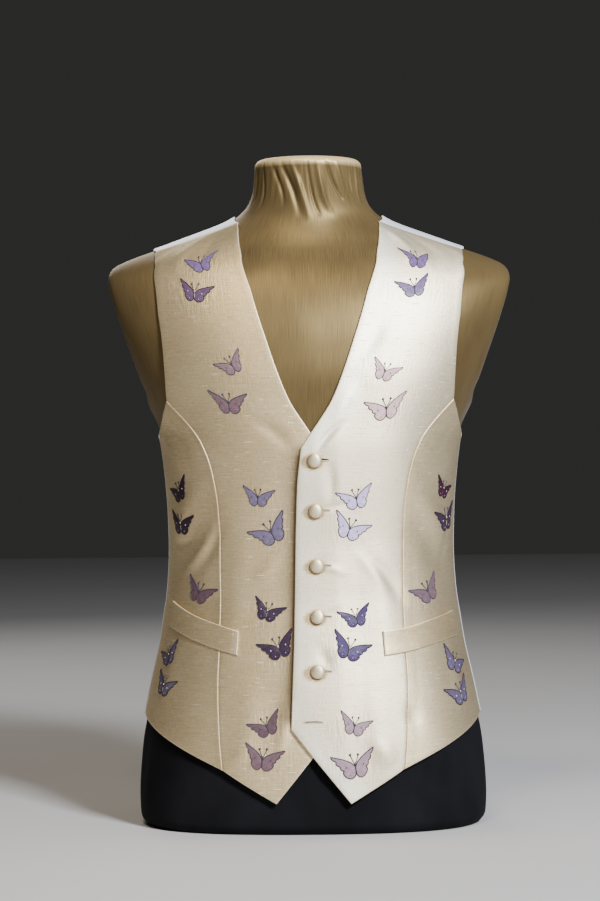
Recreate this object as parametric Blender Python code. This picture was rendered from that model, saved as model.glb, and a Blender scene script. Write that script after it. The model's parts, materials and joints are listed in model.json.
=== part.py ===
"""Embroidered silk waistcoat, buttoned on a limbless dress form.

Metres, +Z up, the wearer's front towards -Y. Every cloth piece lies on one
surface of horizontal rings, addressed by turn (degrees round the axis, -90 at
the front, 0 at the wearer's left side, 90 at the back) and height. A panel is
a patch between two edges on that surface, moved out and given a wall.
"""

import math

import bpy
import numpy as np

# Cloth
FRONT_WALL = 0.0020
BACK_WALL = 0.0016
WELT_WALL = 0.0022
SEAM_GAP = 0.0003
LAP_LIFT = FRONT_WALL + 0.0005
WELT_LIFT = 0.0004
WELT_MOUTH = 0.0007

# Covered buttons
BUTTON_RADIUS = 0.00775
BUTTON_HEIGHT = 0.0058
BUTTON_LIFT = 0.0004

# Dress form
SPLIT_HEIGHT = 0.160
TOP_HEIGHT = 0.7385
NECK_RIM = 0.008
FOOT_RIM = 0.012
PLATE_SOFTNESS = 0.0020
RING_BLEND = 0.008

# Mesh density
FORM_SIDES = 60
BUTTON_SIDES = 16

# Rings of the general figure: height, half width, front depth, back depth, fullness at the side
RINGS = (
    (0.000, 0.1915, 0.116, 0.122, 1.24),
    (0.030, 0.1935, 0.118, 0.125, 1.24),
    (0.090, 0.1895, 0.120, 0.128, 1.24),
    (0.126, 0.1830, 0.119, 0.127, 1.22),
    (0.161, 0.1757, 0.117, 0.121, 1.20),
    (0.200, 0.1665, 0.113, 0.112, 1.18),
    (0.232, 0.1612, 0.110, 0.105, 1.16),
    (0.260, 0.1570, 0.108, 0.101, 1.15),
    (0.305, 0.1545, 0.108, 0.099, 1.15),
    (0.347, 0.1555, 0.112, 0.103, 1.16),
    (0.390, 0.1590, 0.118, 0.110, 1.17),
    (0.430, 0.1650, 0.122, 0.116, 1.18),
    (0.480, 0.1890, 0.122, 0.119, 1.16),
    (0.530, 0.2120, 0.116, 0.118, 1.12),
    (0.570, 0.2290, 0.106, 0.114, 1.04),
    (0.600, 0.2350, 0.094, 0.107, 0.94),
    (0.620, 0.2210, 0.083, 0.100, 0.82),
    (0.639, 0.1700, 0.070, 0.091, 0.68),
    (0.655, 0.1270, 0.063, 0.082, 0.60),
    (0.668, 0.0907, 0.059, 0.074, 0.64),
    (0.680, 0.0735, 0.057, 0.066, 0.80),
    (0.700, 0.0625, 0.056, 0.060, 1.00),
    (0.740, 0.0590, 0.056, 0.059, 1.00),
)

# Flat plates that close the armholes of the form: height, distance from the middle
ARM_PLATES = (
    (0.440, 0.1900),
    (0.476, 0.1825),
    (0.494, 0.1890),
    (0.520, 0.1980),
    (0.557, 0.2107),
    (0.592, 0.2217),
    (0.606, 0.2245),
    (0.620, 0.2215),
    (0.640, 0.2100),
)

# Clearance of the cloth from the form: height, at the front, at the sides, at the back
EASE = (
    (0.030, 0.0052, 0.0030, 0.0040),
    (0.110, 0.0036, 0.0026, 0.0040),
    (0.170, 0.0030, 0.0026, 0.0044),
    (0.240, 0.0034, 0.0030, 0.0072),
    (0.300, 0.0040, 0.0030, 0.0086),
    (0.370, 0.0032, 0.0028, 0.0060),
    (0.440, 0.0020, 0.0022, 0.0028),
    (0.500, 0.0014, 0.0018, 0.0016),
    (0.570, 0.0012, 0.0012, 0.0015),
    (0.630, 0.0009, 0.0009, 0.0012),
    (0.700, 0.0008, 0.0008, 0.0009),
)

# Largest folds of the cloth: turn and height where each starts and ends, half width, depth (+ out)
FOLDS = (
    (-44, 0.345, -27, 0.275, 0.018, -0.0020),
    (-46, 0.372, -22, 0.318, 0.014, 0.0016),
    (-134, 0.350, -155, 0.290, 0.018, -0.0021),
    (-137, 0.378, -160, 0.330, 0.013, 0.0015),
    (-63, 0.300, -60, 0.180, 0.016, 0.0014),
    (-119, 0.330, -122, 0.200, 0.015, 0.0014),
    (-70, 0.160, -66, 0.070, 0.014, 0.0016),
    (-112, 0.155, -113, 0.070, 0.013, 0.0015),
    (52, 0.250, 84, 0.300, 0.015, -0.0028),
    (40, 0.300, 80, 0.345, 0.014, 0.0020),
    (128, 0.256, 97, 0.292, 0.015, -0.0026),
    (142, 0.310, 101, 0.350, 0.013, 0.0018),
    (66, 0.220, 62, 0.130, 0.016, 0.0026),
    (112, 0.215, 117, 0.132, 0.017, 0.0024),
)

# Edges of the wearer's left front, hem to shoulder: turn, height, 1 at a corner
FRONT_EDGE = (
    (-78.2, 0.0355, 1),
    (-97.2, 0.1155, 1),
    (-96.8, 0.2000, 0),
    (-96.4, 0.2963, 0),
    (-95.4, 0.3756, 0),
    (-93.7, 0.4178, 1),
    (-90.0, 0.4329, 0),
    (-83.0, 0.4680, 0),
    (-79.4, 0.5040, 0),
    (-77.1, 0.5380, 0),
    (-75.5, 0.5660, 0),
    (-73.9, 0.5930, 0),
    (-69.7, 0.6240, 0),
    (-61.5, 0.6430, 0),
    (-51.5, 0.6560, 0),
    (-38.0, 0.6658, 1),
)
PRINCESS_SEAM = (
    (-59.8, 0.0710, 1),
    (-54.2, 0.1869, 0),
    (-53.2, 0.2275, 0),
    (-51.6, 0.2922, 0),
    (-51.3, 0.3300, 0),
    (-50.5, 0.3665, 0),
    (-48.6, 0.3970, 0),
    (-44.9, 0.4237, 0),
    (-38.9, 0.4490, 0),
    (-33.1, 0.4703, 1),
)
FRONT_ARMHOLE = (
    (-33.1, 0.4703, 1),
    (-37.0, 0.4930, 0),
    (-41.2, 0.5275, 0),
    (-43.5, 0.5570, 0),
    (-44.5, 0.5885, 0),
    (-42.0, 0.6135, 0),
    (-36.0, 0.6250, 0),
    (-24.0, 0.6345, 1),
)
SIDE_SEAM = (
    (-8.0, 0.1225, 1),
    (-6.8, 0.2300, 0),
    (-5.0, 0.4290, 1),
)

# Edges of the left back, share of the way up, turn, height, 1 at a corner
BACK_OUTER = (
    (0.00, -8.0, 0.1225, 1),
    (0.16, -6.8, 0.2300, 0),
    (0.40, -5.0, 0.4290, 1),
    (0.47, 13.0, 0.4420, 0),
    (0.54, 30.5, 0.4740, 0),
    (0.62, 39.5, 0.5200, 0),
    (0.70, 43.5, 0.5650, 0),
    (0.78, 43.8, 0.6020, 0),
    (0.86, 35.0, 0.6262, 0),
    (0.93, 4.0, 0.6392, 0),
    (1.00, -24.0, 0.6345, 1),
)
BACK_INNER = (
    (0.00, 90.0, 0.1120, 1),
    (0.40, 90.0, 0.3900, 0),
    (0.80, 90.0, 0.6530, 1),
    (0.86, 66.0, 0.6602, 0),
    (0.91, 38.0, 0.6685, 0),
    (0.955, 0.0, 0.6745, 0),
    (1.00, -38.0, 0.6658, 1),
)

# How far the hem bows up and the armhole dips between its ends
HEM_BOW = 0.0040
ARMHOLE_DIP = -0.0045

# Pocket welts, front end to side end: turn, top height, bottom height
WELT_LEFT = (
    (-63.2, 0.2182, 0.1918),
    (-53.2, 0.2212, 0.1950),
    (-38.6, 0.2290, 0.2028),
    (-22.0, 0.2362, 0.2092),
)
WELT_RIGHT = (
    (-61.8, 0.2190, 0.1936),
    (-53.4, 0.2252, 0.1992),
    (-41.0, 0.2340, 0.2082),
    (-23.0, 0.2490, 0.2216),
)

# Buttons of the left front, top to bottom: turn, height
BUTTONS = (
    (-88.6, 0.4047),
    (-88.3, 0.3505),
    (-88.0, 0.2902),
    (-88.0, 0.2346),
    (-88.2, 0.1762),
)

# Half profile of a button: share of the radius, share of the height
BUTTON_PROFILE = (
    (0.70, 0.00),
    (0.93, 0.14),
    (1.00, 0.38),
    (0.93, 0.62),
    (0.70, 0.84),
    (0.37, 0.97),
)

# Finishes: red, green, blue, roughness
FINISHES = {
    "ivory_silk": (0.76, 0.66, 0.47, 0.45),
    "white_satin": (0.78, 0.80, 0.84, 0.35),
    "gold_satin": (0.33, 0.24, 0.10, 0.40),
    "black_cloth": (0.012, 0.012, 0.014, 0.70),
}


def rise(points, values):
    """Slopes of a smooth curve that never overshoots its table."""
    step = np.diff(points)
    grade = np.diff(values) / step
    slope = np.zeros_like(values)
    slope[0] = grade[0]
    slope[-1] = grade[-1]
    for i in range(1, len(points) - 1):
        if grade[i - 1] * grade[i] > 0:
            before = 2 * step[i] + step[i - 1]
            after = step[i] + 2 * step[i - 1]
            slope[i] = (before + after) / (before / grade[i - 1] + after / grade[i])
    return slope


def curve(points, values, at):
    """Value of the smooth curve through a table column."""
    points = np.asarray(points, float)
    values = np.asarray(values, float)
    slope = rise(points, values)
    at = np.clip(at, points[0], points[-1])
    i = np.clip(np.searchsorted(points, at) - 1, 0, len(points) - 2)
    step = points[i + 1] - points[i]
    s = (at - points[i]) / step
    start = (2 * s**3 - 3 * s**2 + 1) * values[i] + (s**3 - 2 * s**2 + s) * step * slope[i]
    end = (3 * s**2 - 2 * s**3) * values[i + 1] + (s**3 - s**2) * step * slope[i + 1]
    return start + end


def column(table, index, height):
    rows = np.asarray(table, float)
    return curve(rows[:, 0], rows[:, index], height)


def ring(index, height):
    """Ring size at a height, eased over a short band."""
    low = column(RINGS, index, height - RING_BLEND)
    high = column(RINGS, index, height + RING_BLEND)
    return (low + 2 * column(RINGS, index, height) + high) / 4


def figure(turn, height):
    """Point of the general figure at a turn in radians and a height."""
    across = np.cos(turn)
    along = np.sin(turn)
    depth = np.where(along < 0, ring(2, height), ring(3, height))
    full = ring(4, height)
    x = ring(1, height) * across
    y = depth * along * (full + (1 - full) * along**2)
    return np.stack([x, y, height + 0 * turn], -1)


def outward(turn, height):
    step = 1e-4
    round_it = figure(turn + step, height) - figure(turn - step, height)
    up_it = figure(turn, height + step) - figure(turn, height - step)
    normal = np.cross(round_it, up_it)
    return normal / np.linalg.norm(normal, axis=-1, keepdims=True)


def smoothstep(value, low, high):
    s = np.clip((value - low) / (high - low), 0, 1)
    return s * s * (3 - 2 * s)


def ease(turn, height):
    front = column(EASE, 1, height)
    side = column(EASE, 2, height)
    back = column(EASE, 3, height)
    along = np.sin(turn)
    to_front = smoothstep(-along, 0.25, 0.90)
    to_back = smoothstep(along, 0.25, 0.90)
    return side + (front - side) * to_front + (back - side) * to_back


def folds(turn, height):
    """Outward relief of the largest folds."""
    total = np.zeros_like(turn)
    reach = 0.14
    for start, low, end, high, half_width, depth in FOLDS:
        run = np.array([math.radians(end - start) * reach, high - low])
        place = np.stack([(turn - math.radians(start)) * reach, height - low], -1)
        share = np.clip(place @ run / (run @ run), 0, 1)
        off = np.linalg.norm(place - share[..., None] * run, axis=-1)
        swell = 0.35 + 0.65 * np.sin(math.pi * share)
        total = total + depth * swell * np.exp(-(off / half_width) ** 2)
    lap = np.abs(turn + math.pi / 2)
    return total * smoothstep(lap, math.radians(9), math.radians(16))


def lap(turn, height):
    """Extra lift of the left front where it lies over the right one."""
    over = smoothstep(-turn, math.radians(71), math.radians(81))
    return LAP_LIFT * over * (1 - smoothstep(height, 0.450, 0.500))


def cloth(turn, height, lift):
    """Point on the cloth, at a lift above its inner face."""
    away = ease(turn, height) + folds(turn, height) + lift
    return figure(turn, height) + outward(turn, height) * away[..., None]


def rising(table):
    """Gives each row of an edge table its share of the climb."""
    low = table[0][1]
    climb = table[-1][1] - low
    return [((row[1] - low) / climb,) + tuple(row) for row in table]


def edge(rows, share):
    """Turn and height along an edge, sharp at its corners."""
    rows = np.asarray(rows, float)
    turn = np.zeros_like(share)
    height = np.zeros_like(share)
    corners = [i for i in range(len(rows)) if rows[i, 3] or i in (0, len(rows) - 1)]
    for first, last in zip(corners, corners[1:]):
        part = rows[first:last + 1]
        here = (share >= part[0, 0] - 1e-9) & (share <= part[-1, 0] + 1e-9)
        turn[here] = curve(part[:, 0], part[:, 1], share[here])
        height[here] = curve(part[:, 0], part[:, 2], share[here])
    return np.radians(turn), height


def spread(knots, counts):
    """Shares with evenly divided stretches between knots."""
    parts = [np.linspace(a, b, n, endpoint=False) for a, b, n in zip(knots, knots[1:], counts)]
    return np.append(np.concatenate(parts), knots[-1])


def patch(left, right, shares, columns, bow=0.0, dip=0.0):
    """Grid of turns and heights between two edges, trimmed by half a seam gap."""
    turn_a, high_a = edge(left, shares)
    turn_b, high_b = edge(right, shares)
    u = np.linspace(0, 1, columns + 1)[None, :]
    v = shares[:, None]
    turn = turn_a[:, None] + (turn_b - turn_a)[:, None] * u
    high = high_a[:, None] + (high_b - high_a)[:, None] * u
    arch = 4 * u * (1 - u)
    high = high + bow * arch * (1 - v) ** 3 + dip * arch * v ** 3
    return trim(turn, high)


def trim(turn, high):
    """Draws the rim of a grid in, so neighbours keep their seam gap."""
    points = figure(turn, high)
    inset = 0.65 * SEAM_GAP

    def draw(rim, inner):
        gap = np.linalg.norm(points[rim] - points[inner], axis=-1)
        share = inset / np.maximum(gap, 1e-6)
        turn[rim] = turn[rim] + (turn[inner] - turn[rim]) * share
        high[rim] = high[rim] + (high[inner] - high[rim]) * share

    every = slice(None)
    draw((every, 0), (every, 1))
    draw((every, -1), (every, -2))
    draw((0, every), (1, every))
    draw((-1, every), (-2, every))
    return turn, high


def front_centre():
    seam = rising(PRINCESS_SEAM + FRONT_ARMHOLE[1:])
    left = rising(FRONT_EDGE)
    shares = spread((0, left[1][0], left[5][0], seam[9][0], 0.90, 1), (5, 11, 3, 6, 10))
    return patch(left, seam, shares, 11)


def front_side():
    seam = rising(PRINCESS_SEAM + FRONT_ARMHOLE[1:])
    left = rising(FRONT_EDGE)
    reach = seam[9][0]
    shares = spread((0, left[1][0], left[5][0], reach), (5, 11, 3)) / reach
    return patch(rising(PRINCESS_SEAM), rising(SIDE_SEAM), shares, 7, HEM_BOW, ARMHOLE_DIP)


def back():
    shares = spread((0, 0.40, 0.80, 1.0), (10, 10, 12))
    return patch(BACK_OUTER, BACK_INNER, shares, 13)


def welt(table):
    u = np.linspace(0, 1, 13)
    rows = np.asarray(table, float)
    places = np.linspace(0, 1, len(rows))
    turn = np.radians(curve(places, rows[:, 0], u))
    top = curve(places, rows[:, 1], u)
    bottom = curve(places, rows[:, 2], u)
    v = np.linspace(0, 1, 4)[:, None]
    return turn + 0 * v, bottom + (top - bottom) * v


def mirror(turn, high):
    """The same grid on the wearer's right side, still facing out."""
    return (-math.pi - turn)[:, ::-1], high[:, ::-1]


def finish(name, mesh_object):
    red, green, blue, rough = FINISHES[name]
    material = bpy.data.materials.new(mesh_object.name + "_" + name)
    material.use_nodes = True
    shader = material.node_tree.nodes["Principled BSDF"]
    shader.inputs["Base Color"].default_value = (red, green, blue, 1)
    shader.inputs["Roughness"].default_value = rough
    mesh_object.data.materials.append(material)


def add(name, verts, faces, material):
    mesh = bpy.data.meshes.new(name)
    mesh.from_pydata([tuple(map(float, v)) for v in verts], [], faces)
    mesh.validate()
    mesh.update()
    mesh_object = bpy.data.objects.new(name, mesh)
    bpy.context.scene.collection.objects.link(mesh_object)
    finish(material, mesh_object)
    return mesh_object


def shell(name, inner, outer, material):
    """Closed wall between two matching grids of points."""
    rows, columns = inner.shape[:2]
    count = rows * columns
    verts = np.concatenate([inner.reshape(-1, 3), outer.reshape(-1, 3)])
    faces = []
    for i in range(rows - 1):
        for j in range(columns - 1):
            a = i * columns + j
            b = a + 1
            c = a + columns + 1
            d = a + columns
            faces.append((count + a, count + b, count + c, count + d))
            faces.append((d, c, b, a))
    rim = [j for j in range(columns)]
    rim += [i * columns + columns - 1 for i in range(1, rows)]
    rim += [(rows - 1) * columns + j for j in range(columns - 2, -1, -1)]
    rim += [i * columns for i in range(rows - 2, 0, -1)]
    for a, b in zip(rim, rim[1:] + rim[:1]):
        faces.append((a, b, count + b, count + a))
    return add(name, verts, faces, material)


def panel(name, grid, wall, material, lift=None):
    turn, high = grid
    raised = lift(turn, high) if lift else 0 * turn
    inner = cloth(turn, high, raised)
    outer = cloth(turn, high, raised + wall)
    return shell(name, inner, outer, material)


def add_welt(name, grid):
    turn, high = grid
    share = (high - high.min(axis=0)) / (high.max(axis=0) - high.min(axis=0))
    lift = FRONT_WALL + WELT_LIFT + WELT_MOUTH * share**3
    return shell(name, cloth(turn, high, lift), cloth(turn, high, lift + WELT_WALL), "ivory_silk")


def stack(rings):
    """Side faces of rings of equal length, bottom ring first."""
    sides = len(rings[0])
    faces = []
    for level in range(len(rings) - 1):
        for k in range(sides):
            a = level * sides + k
            b = level * sides + (k + 1) % sides
            faces.append((a, b, b + sides, a + sides))
    return faces


def add_button(name, turn, height):
    turn = np.array([math.radians(turn)])
    height = np.array([height])
    seat = cloth(turn, height, lap(turn, height) + FRONT_WALL + BUTTON_LIFT)[0]
    axis = outward(turn, height)[0]
    side = np.cross(axis, (0, 0, 1))
    side = side / np.linalg.norm(side)
    up = np.cross(side, axis)
    angles = [2 * math.pi * k / BUTTON_SIDES for k in range(BUTTON_SIDES)]
    rings = []
    for across, tall in BUTTON_PROFILE:
        radius = across * BUTTON_RADIUS
        centre = seat + axis * tall * BUTTON_HEIGHT
        rings.append([centre + radius * (math.cos(a) * side + math.sin(a) * up) for a in angles])
    verts = [point for circle in rings for point in circle]
    last = (len(rings) - 1) * BUTTON_SIDES
    faces = [face[::-1] for face in stack(rings)]
    faces.append(tuple(range(BUTTON_SIDES)))
    crown = len(verts)
    verts.append(seat + axis * BUTTON_HEIGHT)
    for k in range(BUTTON_SIDES):
        faces.append((last + (k + 1) % BUTTON_SIDES, last + k, crown))
    return add(name, verts, faces, "ivory_silk")


def form_ring(height, inset=0.0):
    """Ring of the dress form, cut off at the arm plates and drawn in at a rim."""
    turn = np.linspace(0, 2 * math.pi, FORM_SIDES, endpoint=False)
    level = np.full(FORM_SIDES, float(height))
    points = figure(turn, level)
    if ARM_PLATES[0][0] < height < ARM_PLATES[-1][0]:
        plate = column(ARM_PLATES, 1, level)
        reach = np.abs(points[:, 0])
        spare = np.sqrt((reach - plate) ** 2 + 4 * PLATE_SOFTNESS**2)
        points[:, 0] = np.sign(points[:, 0]) * (reach + plate - spare) / 2
    if inset:
        wide = np.linalg.norm(points[:, :2], axis=1, keepdims=True)
        points[:, :2] *= (wide - inset) / wide
    return points


def rounded(height, rim, top):
    """Heights and insets of a quarter-round rim."""
    steps = [math.radians(a) for a in (0, 30, 60, 90)]
    if top:
        return [(height - rim + rim * math.sin(a), rim * (1 - math.cos(a))) for a in steps]
    return [(height + rim - rim * math.sin(a), rim * (1 - math.cos(a))) for a in steps[::-1]]


def add_form(name, levels, material):
    rings = [form_ring(height, inset) for height, inset in levels]
    verts = np.concatenate(rings)
    faces = stack(rings)
    faces.append(tuple(range(FORM_SIDES))[::-1])
    last = (len(rings) - 1) * FORM_SIDES
    faces.append(tuple(range(last, last + FORM_SIDES)))
    return add(name, verts, faces, material)


def build_form():
    heights = spread((SPLIT_HEIGHT + SEAM_GAP / 2, 0.600, 0.654, 0.690, 0.716), (21, 10, 10, 2))
    levels = [(z, 0.0) for z in heights] + rounded(TOP_HEIGHT, NECK_RIM, True)
    add_form("form_torso", levels, "gold_satin")
    hips = rounded(0.0, FOOT_RIM, False)
    hips += [(z, 0.0) for z in np.linspace(0.030, SPLIT_HEIGHT - SEAM_GAP / 2, 8)]
    add_form("form_hips", hips, "black_cloth")


def build_waistcoat():
    centre = front_centre()
    side = front_side()
    rear = back()
    panel("front_left_centre", centre, FRONT_WALL, "ivory_silk", lap)
    panel("front_left_side", side, FRONT_WALL, "ivory_silk")
    panel("front_right_centre", mirror(*centre), FRONT_WALL, "ivory_silk")
    panel("front_right_side", mirror(*side), FRONT_WALL, "ivory_silk")
    panel("back_left", rear, BACK_WALL, "white_satin")
    panel("back_right", mirror(*rear), BACK_WALL, "white_satin")
    add_welt("welt_left", welt(WELT_LEFT))
    add_welt("welt_right", mirror(*welt(WELT_RIGHT)))
    for number, (turn, height) in enumerate(BUTTONS, 1):
        add_button(f"button_{number}", turn, height)


def main():
    for old in list(bpy.data.objects):
        bpy.data.objects.remove(old, do_unlink=True)
    build_form()
    build_waistcoat()


main()
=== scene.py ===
"""Looks of the embroidered silk waistcoat, buttoned on its limbless dress form.

Metres, +Z up, the wearer's front towards -Y. Cloth lies on one surface of
horizontal rings, addressed by turn (degrees round the axis, -90 at the front,
0 at the wearer's left side, 90 at the back) and height, as in the CAD model.
"""

from __future__ import annotations

import json
import logging
import math
from collections.abc import Iterator
from contextlib import contextmanager
from dataclasses import dataclass, field
from enum import Enum
from typing import NamedTuple

import bpy
import numpy as np
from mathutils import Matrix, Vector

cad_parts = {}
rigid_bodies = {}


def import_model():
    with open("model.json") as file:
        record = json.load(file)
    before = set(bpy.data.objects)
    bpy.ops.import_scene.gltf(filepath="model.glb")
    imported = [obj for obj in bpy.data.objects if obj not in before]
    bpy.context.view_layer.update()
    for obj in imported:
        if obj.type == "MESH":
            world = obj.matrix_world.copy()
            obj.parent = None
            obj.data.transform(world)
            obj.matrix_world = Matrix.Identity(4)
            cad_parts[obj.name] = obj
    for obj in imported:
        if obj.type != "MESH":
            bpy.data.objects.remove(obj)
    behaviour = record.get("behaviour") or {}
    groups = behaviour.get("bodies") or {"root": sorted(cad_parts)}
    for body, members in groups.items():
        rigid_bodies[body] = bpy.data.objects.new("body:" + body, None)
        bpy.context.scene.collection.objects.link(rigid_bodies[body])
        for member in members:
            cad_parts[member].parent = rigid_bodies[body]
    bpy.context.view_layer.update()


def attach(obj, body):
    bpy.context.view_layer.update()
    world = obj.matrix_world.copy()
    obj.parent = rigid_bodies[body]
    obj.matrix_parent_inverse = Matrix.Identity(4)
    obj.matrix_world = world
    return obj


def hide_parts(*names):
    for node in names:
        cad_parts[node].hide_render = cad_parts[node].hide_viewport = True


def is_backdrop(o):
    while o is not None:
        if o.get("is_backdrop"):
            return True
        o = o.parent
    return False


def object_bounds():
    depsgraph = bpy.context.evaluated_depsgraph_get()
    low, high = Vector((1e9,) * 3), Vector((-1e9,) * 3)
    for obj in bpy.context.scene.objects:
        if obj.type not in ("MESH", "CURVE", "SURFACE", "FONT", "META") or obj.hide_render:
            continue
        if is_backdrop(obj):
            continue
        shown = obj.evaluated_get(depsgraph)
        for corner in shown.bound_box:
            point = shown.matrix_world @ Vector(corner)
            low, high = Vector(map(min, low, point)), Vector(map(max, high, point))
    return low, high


log = logging.getLogger("waistcoat")
Array = np.ndarray
Socket = bpy.types.NodeSocket
BODY = "root"
FRONT_WALL = 0.0020
# Metres that a radian of turn covers, at the sides and at the buttons
SIDE_REACH = 0.14
FRONT_REACH = 0.115
# Distances from an edge of the rows that round it
EDGE_ROWS = (0.0, 0.00022, 0.00055, 0.0010, 0.0016, 0.0026)


class Ring(NamedTuple):
    """One ring of the general figure."""

    height: float
    half_width: float
    front: float
    back: float
    fullness: float


class Plate(NamedTuple):
    """Distance of the flat armhole plate from the middle, at a height."""

    height: float
    reach: float


class Clearance(NamedTuple):
    """Room between form and cloth, at a height."""

    height: float
    front: float
    side: float
    back: float


class Crease(NamedTuple):
    """Soft ridge (depth above 0) or trough of the cloth, from one place to another."""

    turn: float
    height: float
    end_turn: float
    end_height: float
    bow: float
    half_width: float
    depth: float


class EdgePoint(NamedTuple):
    """Point of a front's edge, climbing from the hem."""

    turn: float
    height: float
    corner: int


class BackPoint(NamedTuple):
    """Point of a back's edge at a share of the way up."""

    share: float
    turn: float
    height: float
    corner: int


class WeltPoint(NamedTuple):
    """Station of a pocket welt, from its front end to its side end."""

    turn: float
    top: float
    bottom: float


def table_of(kind: type, *rows: tuple) -> tuple:
    """Gives the rows of a table the column names of their kind."""
    return tuple(kind(*row) for row in rows)


RINGS = table_of(
    Ring,
    (0.000, 0.1915, 0.116, 0.122, 1.24),
    (0.030, 0.1935, 0.118, 0.125, 1.24),
    (0.090, 0.1895, 0.120, 0.128, 1.24),
    (0.126, 0.1830, 0.119, 0.127, 1.22),
    (0.161, 0.1757, 0.117, 0.121, 1.20),
    (0.200, 0.1665, 0.113, 0.112, 1.18),
    (0.232, 0.1612, 0.110, 0.105, 1.16),
    (0.260, 0.1570, 0.108, 0.101, 1.15),
    (0.305, 0.1545, 0.108, 0.099, 1.15),
    (0.347, 0.1555, 0.112, 0.103, 1.16),
    (0.390, 0.1590, 0.118, 0.110, 1.17),
    (0.430, 0.1650, 0.122, 0.116, 1.18),
    (0.480, 0.1890, 0.122, 0.119, 1.16),
    (0.530, 0.2120, 0.116, 0.118, 1.12),
    (0.570, 0.2290, 0.106, 0.114, 1.04),
    (0.600, 0.2350, 0.094, 0.107, 0.94),
    (0.620, 0.2210, 0.083, 0.100, 0.82),
    (0.639, 0.1700, 0.070, 0.091, 0.68),
    (0.655, 0.1270, 0.063, 0.082, 0.60),
    (0.668, 0.0907, 0.059, 0.074, 0.64),
    (0.680, 0.0735, 0.057, 0.066, 0.80),
    (0.700, 0.0625, 0.056, 0.060, 1.00),
    (0.740, 0.0590, 0.056, 0.059, 1.00),
)

ARM_PLATES = table_of(
    Plate,
    (0.440, 0.1900),
    (0.476, 0.1825),
    (0.494, 0.1890),
    (0.520, 0.1980),
    (0.557, 0.2107),
    (0.592, 0.2217),
    (0.606, 0.2245),
    (0.620, 0.2215),
    (0.640, 0.2100),
)

CLEARANCES = table_of(
    Clearance,
    (0.030, 0.0052, 0.0030, 0.0040),
    (0.110, 0.0036, 0.0026, 0.0040),
    (0.170, 0.0030, 0.0026, 0.0044),
    (0.240, 0.0034, 0.0030, 0.0072),
    (0.300, 0.0040, 0.0030, 0.0086),
    (0.370, 0.0032, 0.0028, 0.0060),
    (0.440, 0.0020, 0.0022, 0.0028),
    (0.500, 0.0014, 0.0018, 0.0016),
    (0.570, 0.0012, 0.0012, 0.0015),
    (0.630, 0.0009, 0.0009, 0.0012),
    (0.700, 0.0008, 0.0008, 0.0009),
)

# Largest folds, shared with the CAD model
FOLDS = table_of(
    Crease,
    (-44, 0.345, -27, 0.275, 0, 0.018, -0.0020),
    (-46, 0.372, -22, 0.318, 0, 0.014, 0.0016),
    (-134, 0.350, -155, 0.290, 0, 0.018, -0.0021),
    (-137, 0.378, -160, 0.330, 0, 0.013, 0.0015),
    (-63, 0.300, -60, 0.180, 0, 0.016, 0.0014),
    (-119, 0.330, -122, 0.200, 0, 0.015, 0.0014),
    (-70, 0.160, -66, 0.070, 0, 0.014, 0.0016),
    (-112, 0.155, -113, 0.070, 0, 0.013, 0.0015),
    (52, 0.250, 84, 0.300, 0, 0.015, -0.0028),
    (40, 0.300, 80, 0.345, 0, 0.014, 0.0020),
    (128, 0.256, 97, 0.292, 0, 0.015, -0.0026),
    (142, 0.310, 101, 0.350, 0, 0.013, 0.0018),
    (66, 0.220, 62, 0.130, 0, 0.016, 0.0026),
    (112, 0.215, 117, 0.132, 0, 0.017, 0.0024),
)

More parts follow.
